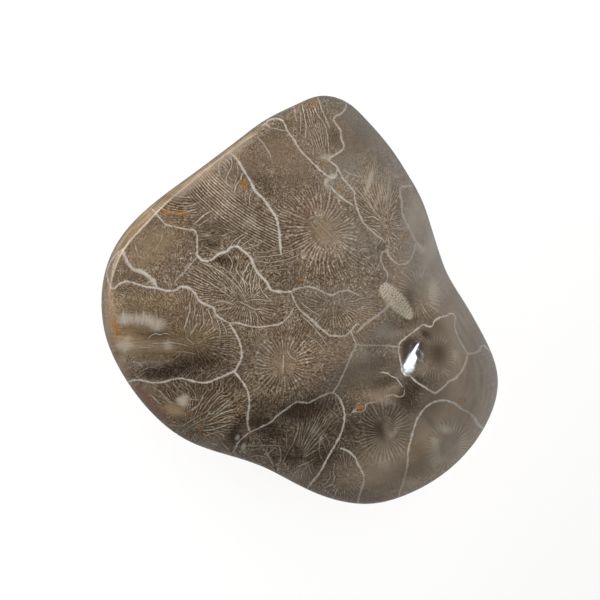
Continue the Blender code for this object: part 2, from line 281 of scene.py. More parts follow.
# Thin pale strands: half width, strength, points.
STRANDS = (
    # marks in the middle of the star left of the centre
    (0.8, 0.62, ((283.8, 355.5), (283.2, 361.0), (283.5, 366.0), (283.0, 371.5))),
    (0.6, 0.45, ((288.0, 352.5), (290.5, 356.5), (294.5, 359.5))),
    # short light threads below the reflection
    (0.6, 0.34, ((404.0, 381.0), (407.5, 384.5), (408.5, 388.0), (412.0, 390.5))),
    (0.6, 0.26, ((411.0, 380.5), (413.0, 384.0), (416.5, 386.0))),
    (0.6, 0.30, ((409.0, 392.5), (412.5, 394.5), (414.0, 398.5), (418.0, 400.5))),
    (0.6, 0.24, ((416.5, 390.5), (419.5, 393.5), (423.0, 394.5))),
    (0.6, 0.30, ((404.5, 391.0), (406.5, 395.0), (410.5, 398.0), (411.5, 402.5))),
    (0.6, 0.22, ((417.0, 396.5), (420.5, 398.0), (422.0, 402.0))),
    # long septa of the folded star below the middle left
    (0.54, 0.50, ((200, 262), (212, 267), (222, 273), (232, 281), (240, 290), (246, 300))),
    (0.50, 0.45, ((216, 265), (226, 270), (235, 279), (241, 287), (244, 294))),
    (0.54, 0.55, ((190, 272), (201, 278), (212, 284), (222, 291), (232, 298))),
    (0.50, 0.40, ((194, 266), (206, 272), (218, 281), (228, 289), (236, 297))),
    (0.50, 0.45, ((206, 263), (217, 269), (227, 277), (235, 286))),
    (0.58, 0.60, ((228, 255), (231.5, 260), (232, 266), (230, 271), (234, 274))),
    (0.54, 0.55, ((238, 256), (238, 263), (236.5, 270), (240, 276), (244, 283), (246, 292))),
    (0.65, 0.65, ((249, 263), (246, 269), (243, 274), (243, 279), (247, 284))),
    (0.58, 0.60, ((253, 266), (251, 273), (250, 282), (251, 295))),
    (0.58, 0.55, ((257, 271), (254, 279), (253, 290))),
    (0.58, 0.55, ((261, 276), (259, 283), (262, 291), (266, 296), (270, 299))),
    (0.72, 0.50, ((240, 302), (247, 305), (254, 309), (261, 309))),
    (0.58, 0.45, ((246, 301), (254, 299.5), (263, 300), (271, 300.5))),
    (0.94, 0.35, ((213, 303), (222, 301), (232, 304))),
    (0.79, 0.30, ((218, 311), (228, 308.5), (238, 306))),
    (0.58, 0.45, ((250, 311), (251, 318), (250.5, 324))),
    (0.58, 0.40, ((255, 311), (257.5, 318), (258, 324))),
    # long curved lines between that star and the next one
    (0.50, 0.40, ((256, 252), (266, 252), (278, 249), (290, 246))),
    (0.54, 0.50, ((256, 257), (268, 256.5), (280, 254.5), (292, 250.5), (302, 246))),
    (0.54, 0.55, ((256, 261), (268, 262.5), (281, 261), (292, 258), (303, 252))),
    (0.50, 0.40, ((262, 266), (274, 266), (285, 264), (296, 260))),
    (0.50, 0.35, ((266, 271), (276, 270), (288, 268.5))),
    (0.54, 0.55, ((230, 246), (234, 241), (239, 237), (244, 234))),
    (0.54, 0.50, ((237, 246), (240, 240.5), (245, 236.5))),
    (0.50, 0.45, ((244, 249), (252, 247), (260, 243.5), (266, 239))),
    (0.50, 0.45, ((240, 246.5), (247, 242), (252, 238))),
    # wavy strands of the upper left cell
    (0.72, 0.40, ((223, 157), (219.5, 163), (219, 170), (221, 177), (225, 182), (231, 187))),
    (0.65, 0.45, ((231, 158), (232, 165), (229, 172), (226, 178), (227, 184))),
    (0.58, 0.40, ((237, 164), (238, 172), (236, 180), (233, 187))),
    (0.79, 0.60, ((242.5, 174), (240, 180), (236.5, 185), (235, 191))),
    (0.58, 0.45, ((247, 190), (245, 196), (246, 203))),
    (0.58, 0.40, ((252, 191), (249.5, 197), (250, 204))),
    # pocket below it
    (0.86, 0.70, ((195.5, 222.5), (200, 218.5), (205, 214.5), (210.5, 211.5))),
    (0.65, 0.55, ((199, 225.5), (205, 221.5), (211, 217))),
    (0.58, 0.45, ((160, 207.5), (168, 211.5), (177, 213.8), (188, 211.5), (196, 209))),
    (0.72, 0.35, ((186, 207), (192, 205), (198, 203))),
    (0.50, 0.40, ((199, 240), (208, 238.5), (217, 236), (226, 235))),
    (0.50, 0.45, ((212, 242), (220, 238), (226, 234), (234, 231))),
    (0.50, 0.40, ((205, 247), (213, 250), (219, 252))),
    (0.50, 0.35, ((218, 227), (226, 229), (235, 232))),
    (0.72, 0.40, ((134.5, 243), (136.5, 250), (139, 256), (143, 258))),
    (0.58, 0.30, ((163, 233), (160.5, 241), (156, 249))),
    # low star in the middle
    (0.58, 0.20, ((284, 353), (289, 353.5), (293, 358), (297, 360))),
    # fine lines inside the big star
    (0.54, 0.28, ((311, 223), (317, 231), (324, 239), (330, 246))),
    (0.58, 0.32, ((316, 220.5), (323, 227.5), (331, 236), (338, 244))),
    (0.54, 0.28, ((321, 219.5), (328, 226), (335, 234), (341, 241))),
    (0.58, 0.45, ((271, 374), (264, 381), (257, 389))),
    (0.50, 0.35, ((273, 377), (267, 384), (262, 389))),
    (0.58, 0.35, ((306, 335), (313, 339), (320, 345), (324, 351))),
    (0.58, 0.50, ((303, 317), (310, 323), (317, 331), (324, 338))),
    (0.58, 0.40, ((309, 322), (316, 330), (322, 338), (327, 345))),
    (0.58, 0.45, ((299, 300), (304, 305), (311, 310), (318, 314))),
    (0.50, 0.35, ((305, 308), (313, 313), (321, 316))),
    # long star on the right
    (0.65, 0.45, ((366, 196), (370, 204), (376, 212), (381, 218))),
    (0.58, 0.45, ((371, 196), (375, 204), (378, 211))),
    (0.58, 0.40, ((357, 188), (363, 197), (370, 206), (375, 213), (381, 220))),
    (0.58, 0.40, ((384, 189), (386.5, 198), (387, 208))),
    (0.58, 0.40, ((390, 186), (391, 197), (389.5, 207), (388, 214))),
    (0.58, 0.35, ((376, 176), (377, 188), (379, 200), (382, 212))),
    (0.65, 0.55, ((368, 217), (374, 217), (380, 221))),
    (0.65, 0.55, ((364, 224), (371, 226), (380, 226))),
    (0.58, 0.60, ((370, 228), (375, 230), (379, 233.5))),
    (0.65, 0.50, ((391, 219), (393, 214), (396, 211))),
    (0.58, 0.50, ((393, 223), (398, 221.5), (403, 220))),
    (0.58, 0.50, ((393, 228), (399, 229), (404, 228))),
    (0.58, 0.40, ((390, 244), (394, 247), (399, 250))),
    (0.58, 0.35, ((397, 246), (400, 243), (403, 240))),
    (0.58, 0.50, ((391, 253), (395, 257), (400, 261), (404, 260))),
    (0.86, 0.35, ((359, 252), (362, 249), (368, 249))),
    (0.65, 0.40, ((364, 255), (368, 258), (371, 256))),
    (0.65, 0.40, ((380.5, 261), (378, 266), (375.5, 271))),
    # left lobe
    (0.79, 0.45, ((190, 303), (189.5, 312), (187, 320), (184.5, 328))),
    (1.01, 0.40, ((197, 324), (194, 329), (191, 334))),
    (0.58, 0.40, ((195, 304), (194.5, 312), (193, 319))),
    (0.58, 0.40, ((203, 309), (203.5, 317), (204, 325))),
    (0.58, 0.45, ((208, 310), (211, 317), (213, 325))),
    (0.58, 0.45, ((214, 315), (218, 322), (220, 330), (220, 337))),
    (0.58, 0.40, ((221, 321), (225, 328), (227, 336))),
    (0.65, 0.70, ((149.5, 337.5), (152, 335), (156, 333.6), (160, 334.6), (164, 333.4), (168.5, 334))),
    (0.58, 0.60, ((152, 343), (163, 343.2), (172, 342.6), (180, 344), (186, 345.5))),
    (0.50, 0.40, ((135, 348), (144, 347.5), (150, 348))),
    (0.50, 0.40, ((176, 352), (186, 352), (196, 354.5))),
    (0.58, 0.40, ((187, 338), (190, 341), (193, 343))),
    (0.86, 0.35, ((134, 362), (139, 363), (142, 367))),
    (0.65, 0.50, ((140, 372), (146, 369), (152, 367), (158, 368.5), (164, 367), (170, 369))),
    (0.58, 0.45, ((140, 376), (145, 372.5), (150, 372))),
    (0.58, 0.40, ((154, 376), (159, 371), (165, 369.5))),
    (0.50, 0.45, ((170, 378), (174, 374), (179, 370.5))),
    (0.50, 0.45, ((177, 378), (182, 373), (187, 369))),
    (0.50, 0.40, ((186, 377), (191, 372), (196, 369))),
    (0.50, 0.40, ((196, 379), (201, 374), (206, 371))),
    (0.50, 0.40, ((206, 379), (211, 374), (217, 371))),
    (0.50, 0.40, ((216, 376), (220, 372), (226, 369))),
    (1.15, 0.35, ((123, 310), (123.5, 317), (124, 323))),
    (1.08, 0.35, ((143.5, 311), (143, 318), (142, 324))),
    (0.94, 0.30, ((136.5, 312), (136, 319))),
    (0.72, 0.30, ((150, 313), (149, 319))),
    # lower left star
    (0.94, 0.60, ((203, 396), (201.5, 400), (198, 405), (194, 408.5), (191, 410))),
    (0.58, 0.60, ((184, 425.5), (189, 421.5), (195, 418), (202, 413.5))),
    (0.54, 0.50, ((188, 428), (194, 424), (200, 421), (204, 418))),
    (0.58, 0.60, ((204, 408.5), (207, 404), (211, 398.5), (217, 393))),
    (0.61, 0.65, ((208, 411), (210, 407), (215, 401.5), (221, 396), (225, 396))),
    (0.61, 0.65, ((208, 411), (209.5, 413.5), (213, 413), (219, 408.5), (224, 404), (229, 400))),
    (0.58, 0.60, ((215, 415), (220, 411), (225, 407), (231, 404))),
    (0.61, 0.65, ((210, 420), (216, 416.5), (223, 413), (230, 410.5), (234, 409.5))),
    (0.61, 0.65, ((207, 425), (214, 423), (221, 420.5), (227, 417.5), (233, 416.5))),
    (0.65, 0.65, ((203, 430), (210, 430), (217, 428), (224, 426), (229, 424))),
    (0.58, 0.45, ((206, 435.5), (214, 433), (221, 431.5))),
    (0.58, 0.50, ((205, 419), (207, 416), (209, 413.5))),
    (0.58, 0.50, ((198, 400), (192, 399.5), (187, 398))),
    (0.65, 0.50, ((189, 385), (192, 389), (195, 394), (196, 398))),
    (0.58, 0.45, ((172, 383), (177, 388), (181, 393))),
    (0.58, 0.50, ((160, 391), (165, 396), (170, 401), (176, 404.5), (182, 404))),
    (0.58, 0.45, ((154, 388), (161, 393), (166, 399), (171, 404))),
    (0.79, 0.50, ((152, 396), (155, 399), (158.5, 402.5))),
    (0.58, 0.45, ((166, 384), (172, 390), (178, 396))),
    (0.58, 0.45, ((181, 384), (186, 388), (190, 391))),
    (0.50, 0.45, ((205, 386), (208, 390), (212, 389))),
    (0.65, 0.50, ((183, 425), (178, 426), (171, 425))),
    (0.72, 0.60, ((212, 443.5), (215, 444.2), (217.5, 445.8))),
    (0.72, 0.50, ((222, 443), (225, 446), (228, 449))),
    # bottom, left of the dark star
    (0.65, 0.60, ((298, 424), (297.5, 431), (295, 438), (292.5, 444), (289, 450), (285.5, 457), (282.5, 463))),
    (0.65, 0.50, ((286, 433), (286.5, 440), (286.5, 447))),
    (0.50, 0.45, ((258, 430), (266, 428.5), (276, 428.5), (284, 430))),
    (0.58, 0.45, ((250, 446), (262, 445.5), (272, 445.5), (279, 446))),
    (0.79, 0.50, ((279, 446), (280.5, 451), (281, 457), (280, 461))),
    (0.79, 0.50, ((273, 449), (270, 452), (267, 455))),
    (0.94, 0.55, ((266, 452), (269, 457), (271.5, 462), (273, 465))),
    (0.50, 0.40, ((250, 450.5), (258, 449), (266, 450.5))),
    (0.50, 0.40, ((250, 457), (258, 455.5), (265, 457))),
    (0.50, 0.40, ((255, 437), (260, 441), (262, 446))),
    # dark star at the bottom
    (0.58, 0.50, ((299, 441), (300, 433), (301, 426))),
    (0.58, 0.50, ((301, 446), (304, 437), (308, 429), (310, 423))),
    (0.58, 0.55, ((303, 447), (308, 438), (314, 430), (317, 424))),
    (0.61, 0.60, ((304, 450), (310, 441), (317, 432), (321, 426))),
    (0.61, 0.60, ((305, 452), (312, 443), (319, 435), (325, 429))),
    (0.61, 0.55, ((305, 455), (313, 447), (320, 440), (326, 436))),
    (0.72, 0.60, ((305, 457), (311, 453), (317, 449.5), (320, 448))),
    (0.79, 0.55, ((323, 434), (320.5, 438), (319.5, 444), (319, 451), (321, 457), (325, 462))),
    (0.58, 0.45, ((312, 462), (313, 467), (316, 473))),
    (0.86, 0.60, ((298.5, 466.5), (304, 464), (309, 462), (313, 459.5))),
    (0.58, 0.45, ((309, 466), (310.5, 471), (314, 477))),
    (0.58, 0.45, ((304, 470), (302, 474), (301, 478))),
    (0.65, 0.45, ((300, 468), (296, 472), (293, 476))),
    (0.50, 0.45, ((324, 434), (328, 440), (330, 447))),
    (0.50, 0.45, ((323, 443), (326, 450), (328, 456))),
    (0.58, 0.45, ((326, 406), (332, 411), (337, 416))),
    (0.58, 0.40, ((335, 399), (338, 406), (340, 412))),
    (0.72, 0.50, ((334, 466), (333.5, 472), (334.5, 478), (332, 484), (327, 487))),
    (0.65, 0.45, ((330, 472), (330, 477), (327, 482), (323, 485))),
    # top cell
    (0.65, 0.50, ((302, 104), (304, 114), (306, 125), (305.5, 137))),
    (0.58, 0.40, ((300.5, 112), (301, 122), (300.5, 132))),
    (0.72, 0.50, ((314, 107), (318, 115), (323, 122), (326, 128), (328, 140), (329, 152))),
    (0.58, 0.35, ((309, 130), (311, 138), (313, 147), (313, 155))),
    (0.50, 0.35, ((316, 138), (319, 147), (322, 154))),
    (0.50, 0.35, ((320, 132), (322, 142), (325, 151))),
)

# Septa: every cell has a centre line (two ends), the number of its septa, where its clear spokes begin
# and end by direction, how strong they are, how strong they stay further out, how they wander, and
# whether new septa join between the old ones further out.
STARS = {
    "a": dict(line=((315.5, 222.0), (330.0, 240.0)), count=48, pitch=3.3, inner=12.0, outer=((0, 27), (45, 26), (90, 38), (118, 52), (138, 60), (165, 36), (200, 34), (245, 34), (290, 36), (330, 32)), power=0.28, far=0.12, wander=0.14),
    "b": dict(line=((284.3, 361.0), (282.6, 367.5)), count=40, pitch=3.2, inner=13.0, outer=((0, 27), (40, 32), (90, 26), (150, 26), (200, 27), (250, 28), (300, 26)), power=0.26, far=0.14, wander=0.12),
    "c": dict(line=((387.0, 424.0), (384.0, 440.0)), count=40, pitch=3.3, inner=7.5, outer=((0, 22), (50, 24), (90, 31), (130, 28), (180, 26), (225, 28), (270, 22), (320, 22)), power=0.3, far=0.08, wander=0.10),
    "d": dict(line=((449.8, 440.5), (449.0, 452.0)), count=36, pitch=3.7, inner=9.5, outer=((0, 19), (45, 18), (90, 19), (140, 21), (180, 21), (230, 22), (270, 19), (320, 18)), power=0.42, far=0.02, wander=0.08),
    "e": dict(line=((419.2, 286.0), (418.6, 303.0)), count=40, pitch=3.2, inner=5.5, outer=((0, 20), (60, 18), (110, 18), (160, 20), (200, 19), (250, 18), (310, 20)), power=0.32, far=0.06, wander=0.12),
    "f": dict(line=((433.0, 355.0), (434.5, 360.0)), count=38, pitch=2.7, inner=11.5, outer=((0, 20), (60, 19), (120, 18), (180, 15), (240, 18), (300, 20)), power=0.38, far=0.05, wander=0.10),
    "g": dict(line=((381.7, 216.0), (387.0, 230.0)), count=40, pitch=2.3, inner=4.0, outer=((0, 14), (45, 16), (80, 34), (98, 54), (115, 50), (140, 34), (180, 17), (230, 14), (270, 18), (320, 14)), power=0.28, far=0.06, wander=0.12),
    "h": dict(line=((232.0, 291.0), (256.0, 309.0)), count=54, pitch=2.4, inner=2.5, outer=((0, 22), (40, 20), (75, 24), (110, 30), (146, 62), (180, 30), (215, 22), (270, 20), (320, 22)), power=0.31, far=0.10, wander=0.16),
    "i": dict(kind="arcs", line=((364.5, 31.5), (365.5, 31.5)), spacing=2.6, pitch=2.6, low=208, high=240, inner=20, outer=((0, 120),), power=0.4, far=0.62, middle=220, wander=0.07),
    "j": dict(kind="arcs", line=((186.0, 148.0), (187.0, 148.0)), spacing=2.6, pitch=2.6, low=30, high=72, inner=20, outer=((0, 120),), power=0.38, far=0.62, wander=0.16),
    "k": dict(line=((183.0, 345.0), (200.0, 341.0)), count=44, pitch=2.8, inner=8, outer=((0, 34), (30, 34), (60, 34), (90, 26), (130, 10), (180, 8), (270, 12), (320, 30)), power=0.3, far=0.25, wander=0.20),
    "l": dict(line=((186.0, 428.0), (192.0, 423.0)), count=42, pitch=2.8, inner=9, outer=((0, 44), (40, 46), (75, 30), (110, 8), (250, 8), (320, 20)), power=0.44, far=0.30, wander=0.16),
    "m": dict(line=((299.0, 456.0), (303.0, 452.0)), count=50, pitch=2.8, inner=6, outer=((0, 12), (20, 26), (55, 42), (80, 34), (105, 12), (250, 10)), power=0.46, far=0.25, wander=0.14),
    "n": dict(line=((345.0, 482.0), (346.5, 474.0)), count=44, pitch=2.4, inner=4, outer=((0, 14), (60, 20), (90, 24), (120, 18), (180, 12), (270, 10)), power=0.38, far=0.25, wander=0.12),
    "o": dict(line=((326.0, 166.0), (326.0, 160.0)), count=60, pitch=2.1, inner=4, outer=((0, 8), (70, 14), (95, 60), (112, 64), (125, 30), (160, 8), (270, 8)), power=0.32, far=0.08, wander=0.16),
    "p": dict(line=((236.0, 180.0), (236.5, 179.0)), count=40, inner=6, outer=((0, 22), (60, 26), (90, 26), (180, 22), (270, 22), (320, 22)), power=0.3, far=0.15, wander=0.30),
    "q": dict(line=((328.0, 306.0), (342.0, 303.0)), count=44, pitch=2.4, inner=5, outer=((0, 30), (60, 12), (120, 14), (180, 24), (230, 24), (300, 26)), power=0.28, far=0.25, wander=0.14),
    "r": dict(kind="plain", line=((150.0, 252.0), (151.0, 252.0)), angle=75, far=0.0, size=2.0, stretch=1.8),
    "s": dict(kind="plain", line=((285.0, 165.0), (286.0, 165.0)), angle=60, far=0.0, size=2.1),
    "t": dict(kind="plain", line=((366.0, 135.0), (367.0, 135.0)), angle=125, far=0.0),
    "u": dict(kind="plain", line=((367.0, 372.0), (368.0, 372.0)), angle=25, far=0.0),
    "v": dict(kind="plain", line=((476.0, 384.0), (477.0, 384.0)), angle=100, far=0.0),
    "w": dict(kind="plain", line=((425.0, 395.0), (426.0, 395.0)), angle=35, far=0.0),
    "x": dict(kind="plain", line=((468.0, 325.0), (469.0, 325.0)), angle=115, far=0.0),
    "y": dict(kind="plain", line=((132.0, 279.0), (133.0, 279.0)), angle=-25, far=0.0),
    "z": dict(kind="arcs", line=((290.0, 120.0), (291.0, 120.0)), spacing=3.0, inner=40, outer=((0, 400),), power=0.0, far=0.0, wander=0.2),
    "A": dict(kind="plain", line=((310.0, 108.0), (311.0, 108.0)), angle=100, far=0.0),
    "B": dict(kind="plain", line=((376.0, 470.0), (377.0, 470.0)), angle=70, far=0.0),
    "C": dict(kind="plain", line=((424.0, 440.0), (425.0, 440.0)), angle=60, far=0.0),
    "D": dict(kind="plain", line=((265.0, 445.0), (266.0, 445.0)), angle=20, far=0.0),
}
SEEDS = (
    ("a", 324, 231, 40), ("b", 284, 364, 30), ("c", 383, 431, 28), ("d", 449, 447, 24), ("e", 419, 295, 24),
    ("f", 436, 356, 24), ("g", 384, 220, 26), ("g", 372, 180, 14), ("h", 250, 303, 24), ("h", 215, 282, 14),
    ("i", 215, 195, 22), ("i", 245, 222, 18), ("i", 195, 180, 8), ("j", 180, 213, 14), ("j", 200, 232, 8),
    ("k", 190, 340, 30), ("l", 205, 408, 30), ("m", 300, 440, 30), ("n", 346, 474, 16), ("o", 322, 135, 14),
    ("p", 241, 168, 14), ("q", 335, 305, 22), ("r", 150, 250, 20), ("s", 285, 165, 26), ("t", 366, 135, 20),
    ("u", 367, 372, 20), ("v", 478, 384, 16), ("x", 468, 325, 12), ("y", 128, 278, 8), ("w", 424, 398, 10),
    ("B", 378, 478, 12), ("C", 421, 430, 10), ("D", 265, 448, 8), ("a", 300, 262, 14), ("a", 345, 262, 12),
    ("e", 405, 275, 8),
)

